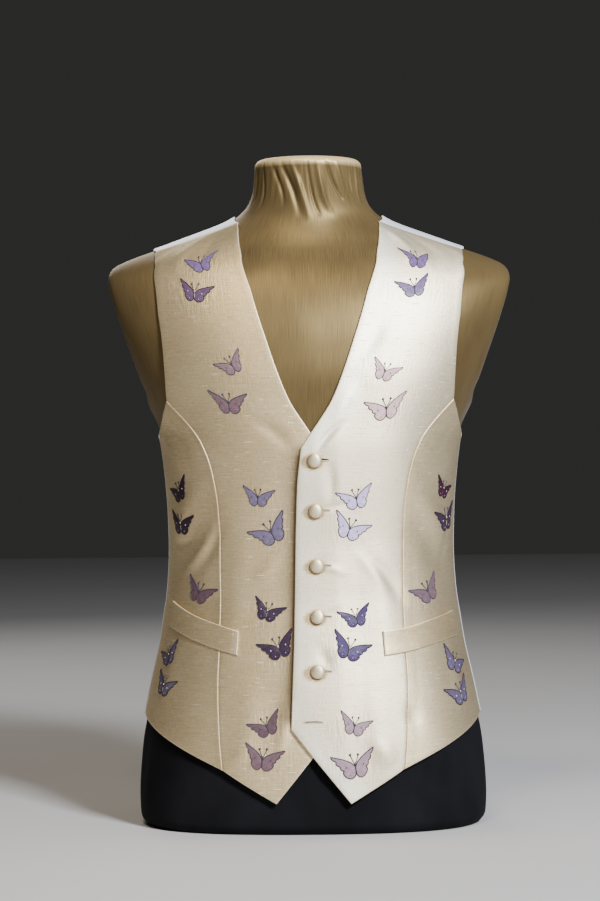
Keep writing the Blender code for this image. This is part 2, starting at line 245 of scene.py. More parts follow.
# Finer creases of the worn cloth
CREASES = table_of(
    Crease,
    # wearer's left front
    (-87.4, 0.4150, -78.5, 0.4440, 0.002, 0.0032, -0.0011),
    (-83.0, 0.3980, -82.4, 0.3620, 0.001, 0.0050, -0.0009),
    (-66.5, 0.2960, -53.5, 0.2520, 0.003, 0.0080, -0.0012),
    (-72.0, 0.3020, -61.0, 0.2680, 0.002, 0.0060, 0.0007),
    (-86.5, 0.1980, -84.6, 0.1810, 0.000, 0.0055, -0.0008),
    (-70.0, 0.5480, -75.0, 0.5120, 0.002, 0.0065, -0.0007),
    (-77.0, 0.4800, -81.0, 0.4520, 0.001, 0.0060, 0.0006),
    (-47.0, 0.6560, -60.0, 0.6200, 0.001, 0.0045, 0.0008),
    (-39.0, 0.6500, -53.0, 0.6160, 0.001, 0.0050, -0.0006),
    (-31.0, 0.6400, -46.0, 0.6000, 0.002, 0.0060, 0.0007),
    (-55.2, 0.1380, -54.0, 0.1160, 0.000, 0.0070, -0.0009),
    (-86.0, 0.3505, -76.0, 0.3570, 0.001, 0.0032, -0.0005),
    (-86.0, 0.2890, -77.0, 0.2810, 0.001, 0.0035, 0.0005),
    (-86.0, 0.2346, -78.5, 0.2420, 0.001, 0.0032, -0.0005),
    (-28.0, 0.2000, -30.0, 0.1400, 0.003, 0.0100, 0.0010),
    (-20.0, 0.3300, -28.0, 0.2880, 0.002, 0.0060, -0.0008),
    (-70.0, 0.1020, -64.0, 0.0760, 0.001, 0.0080, 0.0008),
    (-24.0, 0.4480, -37.0, 0.4120, 0.003, 0.0065, -0.0008),
    (-13.0, 0.4360, -31.0, 0.3900, 0.004, 0.0085, 0.0010),
    # wearer's right front
    (-127.5, 0.3360, -142.0, 0.2820, 0.004, 0.0065, -0.0010),
    (-132.5, 0.3300, -149.0, 0.2860, 0.004, 0.0060, 0.0009),
    (-110.0, 0.4450, -98.0, 0.4190, 0.002, 0.0065, -0.0008),
    (-136.0, 0.6540, -121.0, 0.6200, 0.001, 0.0045, -0.0006),
    (-143.0, 0.6500, -129.0, 0.6140, 0.002, 0.0055, 0.0008),
    (-150.0, 0.6390, -136.0, 0.6000, 0.002, 0.0055, -0.0006),
    (-99.0, 0.1440, -101.0, 0.0900, 0.001, 0.0050, 0.0009),
    (-145.0, 0.3180, -159.0, 0.3120, 0.001, 0.0055, -0.0008),
    (-156.0, 0.4480, -143.5, 0.4140, 0.003, 0.0065, -0.0008),
    (-167.0, 0.4350, -150.0, 0.3940, 0.004, 0.0085, 0.0010),
    (-151.0, 0.2060, -152.5, 0.1430, 0.003, 0.0100, 0.0009),
    (-112.0, 0.0960, -118.0, 0.0760, 0.001, 0.0075, 0.0007),
    (-104.0, 0.3000, -113.0, 0.2720, 0.002, 0.0070, 0.0006),
    # back
    (30.0, 0.3600, 62.0, 0.3280, 0.006, 0.0100, -0.0012),
    (150.0, 0.3520, 121.0, 0.3220, 0.006, 0.0095, -0.0011),
    (72.0, 0.4050, 80.0, 0.3300, 0.003, 0.0090, 0.0010),
    (109.0, 0.4150, 101.0, 0.3380, 0.003, 0.0085, 0.0011),
    (44.0, 0.5900, 60.0, 0.5380, 0.004, 0.0100, 0.0007),
    (137.0, 0.5880, 119.0, 0.5420, 0.004, 0.0100, -0.0006),
    (20.0, 0.2600, 44.0, 0.2860, 0.004, 0.0090, -0.0013),
    (161.0, 0.2630, 138.0, 0.2890, 0.004, 0.0090, -0.0012),
    (78.0, 0.1720, 76.0, 0.1220, 0.001, 0.0100, 0.0010),
    (103.0, 0.1760, 104.5, 0.1230, 0.001, 0.0090, 0.0011),
    (8.0, 0.4100, 26.0, 0.3800, 0.003, 0.0080, 0.0009),
    (170.0, 0.4060, 155.0, 0.3740, 0.003, 0.0080, 0.0008),
    (70.0, 0.6200, 82.0, 0.5700, 0.002, 0.0080, -0.0006),
)

FRONT_EDGE = table_of(
    EdgePoint,
    (-78.2, 0.0355, 1),
    (-97.2, 0.1155, 1),
    (-96.8, 0.2000, 0),
    (-96.4, 0.2963, 0),
    (-95.4, 0.3756, 0),
    (-93.7, 0.4178, 1),
    (-90.0, 0.4329, 0),
    (-83.0, 0.4680, 0),
    (-79.4, 0.5040, 0),
    (-77.1, 0.5380, 0),
    (-75.5, 0.5660, 0),
    (-73.9, 0.5930, 0),
    (-69.7, 0.6240, 0),
    (-61.5, 0.6430, 0),
    (-51.5, 0.6560, 0),
    (-38.0, 0.6658, 1),
)
PRINCESS_SEAM = table_of(
    EdgePoint,
    (-59.8, 0.0710, 1),
    (-54.2, 0.1869, 0),
    (-53.2, 0.2275, 0),
    (-51.6, 0.2922, 0),
    (-51.3, 0.3300, 0),
    (-50.5, 0.3665, 0),
    (-48.6, 0.3970, 0),
    (-44.9, 0.4237, 0),
    (-38.9, 0.4490, 0),
    (-33.1, 0.4703, 1),
)
FRONT_ARMHOLE = table_of(
    EdgePoint,
    (-33.1, 0.4703, 1),
    (-37.0, 0.4930, 0),
    (-41.2, 0.5275, 0),
    (-43.5, 0.5570, 0),
    (-44.5, 0.5885, 0),
    (-42.0, 0.6135, 0),
    (-36.0, 0.6250, 0),
    (-24.0, 0.6345, 1),
)
SIDE_SEAM = table_of(
    EdgePoint,
    (-8.0, 0.1225, 1),
    (-6.8, 0.2300, 0),
    (-5.0, 0.4290, 1),
)
BACK_OUTER = table_of(
    BackPoint,
    (0.00, -8.0, 0.1225, 1),
    (0.16, -6.8, 0.2300, 0),
    (0.40, -5.0, 0.4290, 1),
    (0.47, 13.0, 0.4420, 0),
    (0.54, 30.5, 0.4740, 0),
    (0.62, 39.5, 0.5200, 0),
    (0.70, 43.5, 0.5650, 0),
    (0.78, 43.8, 0.6020, 0),
    (0.86, 35.0, 0.6262, 0),
    (0.93, 4.0, 0.6392, 0),
    (1.00, -24.0, 0.6345, 1),
)
BACK_INNER = table_of(
    BackPoint,
    (0.00, 90.0, 0.1120, 1),
    (0.40, 90.0, 0.3900, 0),
    (0.80, 90.0, 0.6530, 1),
    (0.86, 66.0, 0.6602, 0),
    (0.91, 38.0, 0.6685, 0),
    (0.955, 0.0, 0.6745, 0),
    (1.00, -38.0, 0.6658, 1),
)
WELT_LEFT = table_of(
    WeltPoint,
    (-63.2, 0.2182, 0.1918),
    (-53.2, 0.2212, 0.1950),
    (-38.6, 0.2290, 0.2028),
    (-22.0, 0.2362, 0.2092),
)
WELT_RIGHT = table_of(
    WeltPoint,
    (-61.8, 0.2190, 0.1936),
    (-53.4, 0.2252, 0.1992),
    (-41.0, 0.2340, 0.2082),
    (-23.0, 0.2490, 0.2216),
)


def smoothstep(value: Array, low: float, high: float) -> Array:
    """Eases from 0 to 1 between low and high."""
    share = np.clip((value - low) / (high - low), 0, 1)
    return share * share * (3 - 2 * share)


def curve(points: Array, values: Array, at: Array) -> Array:
    """Smooth curve through a table column that never overshoots it.

    Args:
        points: Where the table has values, rising.
        values: The table's values there.
        at: Where the curve is read.

    Returns:
        The curve's value at each place.
    """
    points = np.asarray(points, float)
    values = np.asarray(values, float)
    step = np.diff(points)
    grade = np.diff(values) / step
    slope = np.zeros_like(values)
    slope[0] = grade[0]
    slope[-1] = grade[-1]
    for i in range(1, len(points) - 1):
        if grade[i - 1] * grade[i] > 0:
            before = 2 * step[i] + step[i - 1]
            after = step[i] + 2 * step[i - 1]
            slope[i] = (before + after) / (before / grade[i - 1] + after / grade[i])
    at = np.clip(at, points[0], points[-1])
    i = np.clip(np.searchsorted(points, at) - 1, 0, len(points) - 2)
    width = points[i + 1] - points[i]
    s = (at - points[i]) / width
    start = (2 * s**3 - 3 * s**2 + 1) * values[i] + (s**3 - 2 * s**2 + s) * width * slope[i]
    end = (3 * s**2 - 2 * s**3) * values[i + 1] + (s**3 - s**2) * width * slope[i + 1]
    return start + end


def column(table: tuple, index: int, at: Array) -> Array:
    """Reads one column of a table whose first column rises."""
    rows = np.asarray(table, float)
    return curve(rows[:, 0], rows[:, index], at)


def unit(vectors: Array) -> Array:
    """Scales vectors to length 1."""
    return vectors / np.maximum(np.linalg.norm(vectors, axis=-1, keepdims=True), 1e-12)


def crease_relief(rows: tuple[Crease, ...], turn: Array, height: Array) -> Array:
    """Sums the soft ridges and troughs of a table.

    Args:
        rows: The creases.
        turn: Turns in radians.
        height: Heights.

    Returns:
        How far the surface stands out at each place.
    """
    total = np.zeros_like(turn)
    for row in rows:
        across = math.radians(row.end_turn - row.turn) * SIDE_REACH
        run = np.array([across, row.end_height - row.height])
        length = math.hypot(*run)
        away_x = (turn - math.radians(row.turn)) * SIDE_REACH
        away_z = height - row.height
        share = (away_x * run[0] + away_z * run[1]) / length**2
        inside = np.clip(share, 0, 1)
        side = (away_z * run[0] - away_x * run[1]) / length - row.bow * 4 * inside * (1 - inside)
        past = (share - inside) * length
        swell = 0.35 + 0.65 * np.sin(math.pi * inside)
        total += row.depth * swell * np.exp(-(side**2 + past**2) / row.half_width**2)
    return total


@dataclass(frozen=True)
class Figure:
    """General figure of horizontal rings that form and cloth share."""

    rings: tuple[Ring, ...] = RINGS
    blend: float = 0.008
    middle_turn: float = -1.05
    top: float = 0.75
    samples: int = 400

    def ring(self, index: int, height: Array) -> Array:
        """Ring size at a height, eased over a short band.

        Args:
            index: Column of the table of rings.
            height: Heights in metres.

        Returns:
            The size at each height.
        """
        low = column(self.rings, index, height - self.blend)
        high = column(self.rings, index, height + self.blend)
        return (low + 2 * column(self.rings, index, height) + high) / 4

    def point(self, turn: Array, height: Array) -> Array:
        """Point of the figure at a turn in radians and a height.

        Args:
            turn: Turns in radians.
            height: Heights in metres.

        Returns:
            The points.
        """
        across = np.cos(turn)
        along = np.sin(turn)
        depth = np.where(along < 0, self.ring(2, height), self.ring(3, height))
        full = self.ring(4, height)
        x = self.ring(1, height) * across
        y = depth * along * (full + (1 - full) * along**2)
        return np.stack([x, y, height + 0 * turn], -1)

    def outward(self, turn: Array, height: Array) -> Array:
        """Direction that leaves the figure at right angles.

        Args:
            turn: Turns in radians.
            height: Heights in metres.

        Returns:
            Directions of length 1.
        """
        step = 1e-4
        round_it = self.point(turn + step, height) - self.point(turn - step, height)
        up_it = self.point(turn, height + step) - self.point(turn, height - step)
        return unit(np.cross(round_it, up_it))

    def weave(self, turn: Array, height: Array) -> Array:
        """Place on the cloth's own grain, in metres round and up it.

        Args:
            turn: Turns in radians.
            height: Heights in metres.

        Returns:
            Places across and along the grain.
        """
        heights = np.linspace(0, self.top, self.samples)
        line = self.point(np.full(self.samples, self.middle_turn), heights)
        climb = np.append(0, np.cumsum(np.linalg.norm(np.diff(line, axis=0), axis=1)))
        reach = (self.ring(1, height) + self.ring(2, height)) / 2
        return np.stack([(turn + math.pi / 2) * reach, np.interp(height, heights, climb)], -1)


@dataclass(frozen=True)
class Drape:
    """How the cloth hangs off the figure: clearance, folds, creases and the lap."""

    figure: Figure
    clearances: tuple[Clearance, ...] = CLEARANCES
    lap_lift: float = 0.0025
    edge_lift: float = 0.0018
    lap_turns: tuple[float, float] = (71, 81)
    edge_turns: tuple[float, float] = (77, 96)
    lap_heights: tuple[float, float] = (0.450, 0.500)
    quiet_turns: tuple[float, float] = (9, 16)
    crease_gain: float = 1.6

    def clearance(self, turn: Array, height: Array) -> Array:
        """Room between the form and the cloth's inner face.

        Args:
            turn: Turns in radians.
            height: Heights in metres.

        Returns:
            The room in metres.
        """
        front = column(self.clearances, 1, height)
        side = column(self.clearances, 2, height)
        back = column(self.clearances, 3, height)
        along = np.sin(turn)
        to_front = smoothstep(-along, 0.25, 0.90)
        to_back = smoothstep(along, 0.25, 0.90)
        return side + (front - side) * to_front + (back - side) * to_back

    def relief(self, turn: Array, height: Array) -> Array:
        """Folds and finer creases; the large folds fade under the lap.

        Args:
            turn: Turns in radians.
            height: Heights in metres.

        Returns:
            How far the cloth stands out.
        """
        lap = np.abs(turn + math.pi / 2)
        quiet = smoothstep(lap, *map(math.radians, self.quiet_turns))
        fine = self.crease_gain * crease_relief(CREASES, turn, height)
        return crease_relief(FOLDS, turn, height) * quiet + fine

    def lap(self, turn: Array, height: Array) -> Array:
        """Extra lift of the left front where it lies over the right one.

        Args:
            turn: Turns in radians.
            height: Heights in metres.

        Returns:
            The lift in metres.
        """
        over = self.lap_lift * smoothstep(-turn, *map(math.radians, self.lap_turns))
        over = over + self.edge_lift * smoothstep(-turn, *map(math.radians, self.edge_turns))
        return over * (1 - smoothstep(height, *self.lap_heights))

    def point(self, turn: Array, height: Array, lift: Array | float) -> Array:
        """Point on the cloth, at a lift above its inner face."""
        away = self.clearance(turn, height) + self.relief(turn, height) + lift
        return self.figure.point(turn, height) + self.figure.outward(turn, height) * away[..., None]


@dataclass(frozen=True)
class Spot:
    """Place on the cloth that carries flat work such as embroidery."""

    drape: Drape
    turn: float
    height: float
    lift: float
    tilt: float = 0.0
    over: bool = False

    def lay(self, flat: Array) -> Array:
        """Lays flat work on the cloth.

        Args:
            flat: Points to the right, up and out of the place, in metres.

        Returns:
            The points on the cloth.
        """
        turn = math.radians(self.turn)
        step = 1e-3
        pair = self.drape.figure.point(np.array([turn - step, turn + step]), np.full(2, self.height))
        stack = self.drape.figure.point(np.full(2, turn), self.height + np.array([-step, step]))
        per_turn = np.linalg.norm(pair[1] - pair[0]) / (2 * step)
        per_height = np.linalg.norm(stack[1] - stack[0]) / (2 * step)
        cos, sin = math.cos(math.radians(self.tilt)), math.sin(math.radians(self.tilt))
        turns = turn + (flat[:, 0] * cos - flat[:, 1] * sin) / per_turn
        heights = self.height + (flat[:, 0] * sin + flat[:, 1] * cos) / per_height
        lift = self.lift + flat[:, 2]
        if self.over:
            lift = lift + self.drape.lap(turns, heights)
        return self.drape.point(turns, heights, lift)


def deselect() -> None:
    """Leaves nothing selected, the CAD nodes included."""
    for other in bpy.context.view_layer.objects:
        other.select_set(False)


def current(name: str) -> bpy.types.Object:
    """Names the piece that was just added."""
    piece = bpy.context.active_object
    piece.name = name
    piece.data.name = name
    return piece


@contextmanager
def edit_mode() -> Iterator[None]:
    """Opens the active piece in edit mode with everything selected, and closes it again."""
    bpy.ops.object.mode_set(mode="EDIT")
    bpy.ops.mesh.select_all(action="SELECT")
    yield
    bpy.ops.object.mode_set(mode="OBJECT")


def join(parts: list[bpy.types.Object]) -> bpy.types.Object:
    """Makes one piece of several, under the first one's name.

    Args:
        parts: The pieces; the first one gives its name.

    Returns:
        The joined piece, smoothly shaded.
    """
    deselect()
    for part in parts:
        part.select_set(True)
    bpy.context.view_layer.objects.active = parts[0]
    bpy.ops.object.join()
    smooth(parts[0])
    return parts[0]


def take_mesh(piece: bpy.types.Object) -> bpy.types.Mesh:
    """Takes a pattern's mesh and clears its object away."""
    mesh = piece.data
    bpy.data.objects.remove(piece)
    return mesh


def copy_of(pattern: bpy.types.Mesh, name: str) -> bpy.types.Object:
    """Adds a piece with a mesh of its own, copied from a pattern.

    Args:
        pattern: The mesh to copy.
        name: The piece's name.

    Returns:
        The piece, at the origin.
    """
    piece = bpy.data.objects.new(name, pattern.copy())
    piece.data.name = name
    bpy.context.scene.collection.objects.link(piece)
    return piece


def read_points(piece: bpy.types.Object) -> Array:
    """Vertex places of a piece."""
    flat = np.empty(len(piece.data.vertices) * 3)
    piece.data.vertices.foreach_get("co", flat)
    return flat.reshape(-1, 3)


def write_points(piece: bpy.types.Object, points: Array) -> None:
    """Moves the vertices of a piece."""
    piece.data.vertices.foreach_set("co", np.ascontiguousarray(points, dtype=np.float32).ravel())
    piece.data.update()


def write_uv(piece: bpy.types.Object, places: Array) -> None:
    """Writes the UV map of a piece from one place a vertex.

    Args:
        piece: The piece.
        places: Places on the grain, repeated for the inner face.
    """
    layer = piece.data.uv_layers.new(name="weave")
    index = np.empty(len(piece.data.loops), np.int32)
    piece.data.loops.foreach_get("vertex_index", index)
    layer.data.foreach_set("uv", places[index % len(places)].astype(np.float32).ravel())


def write_mask(piece: bpy.types.Object, name: str, values: Array) -> None:
    """Writes a mask from one value a vertex, repeated for the inner face."""
    count = len(piece.data.vertices)
    mask = piece.data.attributes.new(name, "FLOAT", "POINT")
    mask.data.foreach_set("value", np.resize(values, count).astype(np.float32))


def smooth(piece: bpy.types.Object) -> None:
    """Shades a piece smoothly."""
    piece.data.polygons.foreach_set("use_smooth", np.ones(len(piece.data.polygons), bool))
    piece.data.update()


def grid(name: str, points: Array) -> bpy.types.Object:
    """Models a sheet from a grid primitive, laid row by row.

    Args:
        name: The piece's name.
        points: Rows and columns of places; rows climb, columns go with the turn.

    Returns:
        The sheet, facing outwards.
    """
    rows, columns = points.shape[:2]
    deselect()
    bpy.ops.mesh.primitive_grid_add(
        x_subdivisions=columns - 1, y_subdivisions=rows - 1, size=1, calc_uvs=False
    )
    piece = current(name)
    if len(piece.data.vertices) != rows * columns:
        raise ValueError(f"{name}: the grid has {len(piece.data.vertices)} points")
    write_points(piece, points.reshape(-1, 3))
    return piece


def thicken(piece: bpy.types.Object, inner: Array, wall: float) -> None:
    """Gives a sheet its wall and lays the inner face where it belongs.

    Args:
        piece: The sheet, lying on its outer face.
        inner: Places of the inner face.
        wall: Thickness of the wall.
    """
    count = len(piece.data.vertices)
    modifier = piece.modifiers.new("wall", "SOLIDIFY")
    modifier.thickness = wall
    modifier.offset = -1
    bpy.context.view_layer.objects.active = piece
    bpy.ops.object.modifier_apply(modifier=modifier.name)
    points = read_points(piece)
    if len(points) != 2 * count:
        raise ValueError(f"{piece.name}: the wall has {len(points)} points")
    points[count:] = inner.reshape(-1, 3)
    write_points(piece, points)


def close(piece: bpy.types.Object) -> None:
    """Merges the doubled points of a wrapped sheet and its poles."""
    deselect()
    piece.select_set(True)
    bpy.context.view_layer.objects.active = piece
    with edit_mode():
        bpy.ops.mesh.remove_doubles(threshold=1e-6)


class Recipe:
    """A node material, written out step by step."""

    def __init__(self, name: str) -> None:
        """Starts a material with its Principled shader."""
        self.material = bpy.data.materials.new(name)
        self.material.use_nodes = True
        self.tree = self.material.node_tree
        self.shader = self.tree.nodes["Principled BSDF"]

    def node(self, kind: str, *inputs: Socket | float | tuple | None) -> bpy.types.Node:
        """Adds a node and fills its first inputs with links or numbers.

        Args:
            kind: The node's type, without ShaderNode.
            *inputs: Links or numbers in the order of its sockets; None leaves one as it is.

        Returns:
            The node.
        """
        node = self.tree.nodes.new("ShaderNode" + kind)
        for socket, value in zip(node.inputs, inputs):
            self.set(socket, value)
        return node

    def set(self, socket: Socket, value: Socket | float | tuple | None) -> None:
        """Links a socket, or sets it where the value is a number.

        Args:
            socket: The socket.
            value: A link, a number or None for no change.
        """
        if isinstance(value, bpy.types.NodeSocket):
            self.tree.links.new(value, socket)
        elif value is not None:
            socket.default_value = value

    def calc(self, operation: str, first: Socket | float, second: Socket | float = 0.0) -> Socket:
        """One step of arithmetic.

        Args:
            operation: The Math node's operation.
            first: First value.
            second: Second value.

        Returns:
            The result.
        """
        node = self.node("Math", first, second)
        node.operation = operation
        return node.outputs[0]

    def total(self, *parts: tuple[Socket, float]) -> Socket:
        """Adds up sockets, each by its weight.

        Args:
            *parts: Sockets with their weights.

        Returns:
            The sum.
        """
        first, *others = [self.calc("MULTIPLY", socket, weight) for socket, weight in parts]
        for other in others:
            first = self.calc("ADD", first, other)
        return first

    def paint(self, colour: Socket) -> None:
        """Gives the surface its colour."""
        self.set(self.shader.inputs["Base Color"], colour)

    def blend(self, share: Socket | float, first: Socket | tuple, second: Socket | tuple) -> Socket:
        """Mixes two colours.

        Args:
            share: Share of the second colour.
            first: First colour.
            second: Second colour.

        Returns:
            The mixed colour.
        """
        node = self.tree.nodes.new("ShaderNodeMix")
        node.data_type = "RGBA"
        self.set(node.inputs[0], share)
        self.set(node.inputs[6], first)
        self.set(node.inputs[7], second)
        return node.outputs[2]

    def span(self, value: Socket, low: float, high: float, start: float = 0, end: float = 1) -> Socket:
        """Spreads a range of values over another one, held at its ends."""
        return self.node("MapRange", value, low, high, start, end).outputs[0]

    def noise(self, place: Socket, stretch: tuple, detail: float = 2, rough: float = 0.5) -> Socket:
        """Noise whose grains are as fine as stretch says, per metre each way.

        Args:
            place: Place that the noise is read at.
            stretch: Grains to a metre, each way.
            detail: Octaves of finer grain.
            rough: Strength of each octave.

        Returns:
            The noise, about 0.5.
        """
        mapping = self.node("Mapping", place)
        mapping.inputs["Scale"].default_value = stretch
        node = self.node("TexNoise", mapping.outputs[0])
        node.inputs["Scale"].default_value = 1
        node.inputs["Detail"].default_value = detail
        node.inputs["Roughness"].default_value = rough
        return node.outputs[0]

    def grain(self) -> Socket:
        """Place on the cloth's own grain."""
        node = self.tree.nodes.new("ShaderNodeUVMap")
        node.uv_map = "weave"
        return node.outputs[0]

    def solid(self) -> Socket:
        """Place in the part's frame."""
        return self.tree.nodes.new("ShaderNodeTexCoord").outputs["Object"]

    def mask(self, name: str) -> Socket:
        """Value of a named mask."""
        node = self.tree.nodes.new("ShaderNodeAttribute")
        node.attribute_name = name
        return node.outputs["Fac"]

    def bump(self, height: Socket, distance: float, strength: float = 1.0) -> None:
        """Gives the surface a relief.

        Args:
            height: The relief, about 0 to 1.
            distance: Its real height in metres.
            strength: How much of it shows.
        """
        node = self.tree.nodes.new("ShaderNodeBump")
        node.inputs["Strength"].default_value = strength
        node.inputs["Distance"].default_value = distance
        self.tree.links.new(height, node.inputs["Height"])
        self.tree.links.new(node.outputs[0], self.shader.inputs["Normal"])

    def along_grain(self) -> None:
        """Turns the lustre to the cloth's own grain."""
        node = self.tree.nodes.new("ShaderNodeTangent")
        node.direction_type = "UV_MAP"
        node.uv_map = "weave"
        self.tree.links.new(node.outputs[0], self.shader.inputs["Tangent"])

    def gloss(self, **values: float | tuple) -> None:
        """Sets constants of the shader by name, with _ for a space."""
        for name, value in values.items():
            self.shader.inputs[name.replace("_", " ")].default_value = value


def rgb(red: float, green: float, blue: float) -> tuple[float, float, float, float]:
    """Linear colour from red, green and blue of 0 to 255."""
    return tuple(
        c / 12.92 if c <= 0.04045 else ((c + 0.055) / 1.055) ** 2.4
        for c in (red / 255, green / 255, blue / 255)
    ) + (1.0,)


@dataclass(frozen=True)
class SilkDupion:
    """Plain-woven silk with uneven weft threads and sparse slubs."""

    ground: tuple = rgb(230, 208, 162)
    dim: tuple = rgb(203, 179, 132)
    lit: tuple = rgb(250, 237, 203)
    slub_light: tuple = rgb(255, 248, 228)
    # Painted light, drawn in by the edge mask: the fold colours are painted highlights, the hollow colour
    # is painted shade
    fold_highlight: tuple = rgb(255, 248, 226)
    fold_highlight_dim: tuple = rgb(234, 223, 196)
    hollow_shade: tuple = rgb(74, 52, 28)
    streak: tuple = (40, 760, 1)
    thread: tuple = (160, 1500, 1)
    warp: tuple = (1350, 150, 1)
    slub: tuple = (75, 1050, 1)
    cloud: tuple = (14, 20, 1)
    gather: tuple = (420, 60, 1)
    roughness: float = 0.51

    def dress(self) -> bpy.types.Material:
        """Writes the material.

        Returns:
            The material.
        """
        recipe = Recipe("ivory_silk")
        place = recipe.grain()
        streak = recipe.noise(place, self.streak, 3, 0.6)
        thread = recipe.noise(place, self.thread, 1)
        warp = recipe.noise(place, self.warp, 1)
        cloud = recipe.noise(place, self.cloud, 2)
        slub = recipe.span(recipe.noise(place, self.slub, 0), 0.77, 0.83)
        mixed = recipe.total((streak, 0.34), (thread, 0.26), (warp, 0.24), (cloud, 0.16))
        # The edge mask is painted light: above 0 it mixes in the painted highlight colours, below 0 the
        # painted shade colour
        edge = recipe.mask("edge")
        raised = recipe.span(edge, 0, 1)
        low = recipe.blend(raised, self.dim, self.fold_highlight_dim)
        high = recipe.blend(raised, self.ground, self.fold_highlight)
        colour = recipe.blend(recipe.span(mixed, 0.34, 0.50), low, high)
        colour = recipe.blend(recipe.span(mixed, 0.52, 0.68), colour, self.lit)
        colour = recipe.blend(recipe.calc("MULTIPLY", slub, 0.8), colour, self.slub_light)
        colour = recipe.blend(recipe.span(edge, 0, -1, 0, 0.9), colour, self.hollow_shade)
        recipe.paint(colour)
        gather = recipe.calc("MULTIPLY", recipe.noise(place, self.gather, 1), recipe.mask("pucker"))
        height = recipe.total((streak, 0.45), (thread, 0.45), (warp, 0.45), (slub, 0.6), (gather, 2.2))
        recipe.bump(height, 0.00030, 0.75)
        recipe.along_grain()
        recipe.gloss(
            Roughness=self.roughness,
            Metallic=0.90,
            Specular_IOR_Level=0.60,
            Anisotropic=0.50,
            Anisotropic_Rotation=0.25,
        )
        return recipe.material


class SatinTone(Enum):
    """Satins of the back and the form: ground and shade."""

    WHITE = (rgb(236, 238, 244), rgb(222, 226, 235))
    GOLD = (rgb(98, 83, 54), rgb(78, 64, 41))


@dataclass(frozen=True)
class Satin:
    """Smooth satin with a long, close warp."""

    tone: SatinTone
    warp: tuple = (1900, 30, 1)
    weft: tuple = (60, 2100, 1)
    cloud: tuple = (16, 7, 1)
    # Painted highlight on the top of the gold form, lighter above these heights
    cap_highlight: tuple = rgb(206, 184, 134)
    cap_highlight_heights: tuple[float, float] = (0.7275, 0.7345)
    gleam: tuple = rgb(214, 190, 130)
    # Painted highlight and painted shade, drawn in by the edge mask
    fold_highlight: tuple = rgb(250, 251, 255)
    hollow_shade: tuple = rgb(118, 122, 136)
    roughness: float = 0.42
    metallic: float = 0.28

    def dress(self) -> bpy.types.Material:
        """Writes the material.

        Returns:
            The material.
        """
        recipe = Recipe(self.tone.name.lower() + "_satin")
        place = recipe.grain()
        ground, shade = self.tone.value
        warp = recipe.noise(place, self.warp, 2)
        cloud = recipe.noise(place, self.cloud, 3)
        mixed = recipe.total((warp, 0.5), (cloud, 0.5))
        colour = recipe.blend(recipe.span(mixed, 0.36, 0.56), shade, ground)
        # The edge mask is painted light: painted highlight above 0, painted shade below 0
        edge = recipe.mask("edge")
        colour = recipe.blend(recipe.span(edge, 0, 1, 0, 0.6), colour, self.fold_highlight)
        colour = recipe.blend(recipe.span(edge, 0, -1, 0, 0.8), colour, self.hollow_shade)
        # Painted highlight on the form's top
        if self.tone is SatinTone.GOLD:
            level = recipe.node("SeparateXYZ", recipe.solid()).outputs[2]
            colour = recipe.blend(recipe.span(level, *self.cap_highlight_heights), colour, self.cap_highlight)
        recipe.paint(colour)
        weft = recipe.noise(place, self.weft, 1)
        recipe.bump(recipe.total((warp, 1.0), (weft, 0.35), (cloud, 1.5)), 0.00016, 0.5)
        recipe.along_grain()
        recipe.gloss(
            Roughness=self.roughness,
            Metallic=self.metallic,
            Specular_IOR_Level=0.55,
            Specular_Tint=self.gleam if self.tone is SatinTone.GOLD else self.fold_highlight,
            Anisotropic=0.45,
            Sheen_Weight=0.05,
            Sheen_Roughness=0.35,
        )
        return recipe.material


@dataclass(frozen=True)
class BlackCloth:
    """Close black cloth with a fine, dry surface."""

    ground: tuple = rgb(14, 14, 16)
    light: tuple = rgb(25, 25, 28)

    def dress(self) -> bpy.types.Material:
        """Writes the material.

        Returns:
            The material.
        """
        recipe = Recipe("black_cloth")
        place = recipe.grain()
        fibre = recipe.noise(place, (900, 900, 1), 3, 0.7)
        cloud = recipe.noise(place, (18, 9, 1), 3)
        mixed = recipe.total((fibre, 0.5), (cloud, 0.5))
        recipe.paint(recipe.blend(recipe.span(mixed, 0.4, 0.62), self.ground, self.light))
        recipe.bump(recipe.total((fibre, 1.0), (cloud, 2.0)), 0.0003, 0.6)
        recipe.gloss(Roughness=0.78, Specular_IOR_Level=0.06, Sheen_Weight=0.0)
        return recipe.material


class Thread(Enum):
    """Embroidery threads: ground and glint."""

    LILAC = (rgb(102, 82, 122), rgb(135, 111, 160))
    PLUM = (rgb(80, 57, 83), rgb(108, 81, 112))
    MAUVE = (rgb(118, 93, 97), rgb(155, 124, 129))
    ROSEWOOD = (rgb(104, 80, 86), rgb(138, 108, 115))
    LAVENDER = (rgb(101, 91, 114), rgb(134, 122, 150))
    DAMSON = (rgb(43, 17, 31), rgb(65, 38, 52))
    HEATHER = (rgb(88, 66, 73), rgb(118, 91, 100))
    AUBERGINE = (rgb(49, 32, 50), rgb(71, 53, 73))
    SLATE = (rgb(89, 80, 93), rgb(119, 108, 124))
    SHELL = (rgb(206, 171, 169), rgb(255, 221, 218))
    MIST = (rgb(194, 180, 218), rgb(250, 232, 255))
    MAGENTA = (rgb(52, 9, 32), rgb(75, 32, 53))
    INDIGO = (rgb(52, 35, 52), rgb(75, 56, 75))
    ORCHID = (rgb(99, 78, 86), rgb(131, 106, 115))
    VIOLET = (rgb(68, 55, 93), rgb(94, 78, 124))
    PERIWINKLE = (rgb(81, 72, 96), rgb(109, 98, 128))
    BLUSH = (rgb(154, 130, 138), rgb(200, 170, 180))
    DUSK = (rgb(58, 52, 64), rgb(92, 84, 102))
    NIGHT = (rgb(30, 22, 38), rgb(62, 52, 74))
    CREAM = (rgb(204, 190, 158), rgb(226, 214, 186))


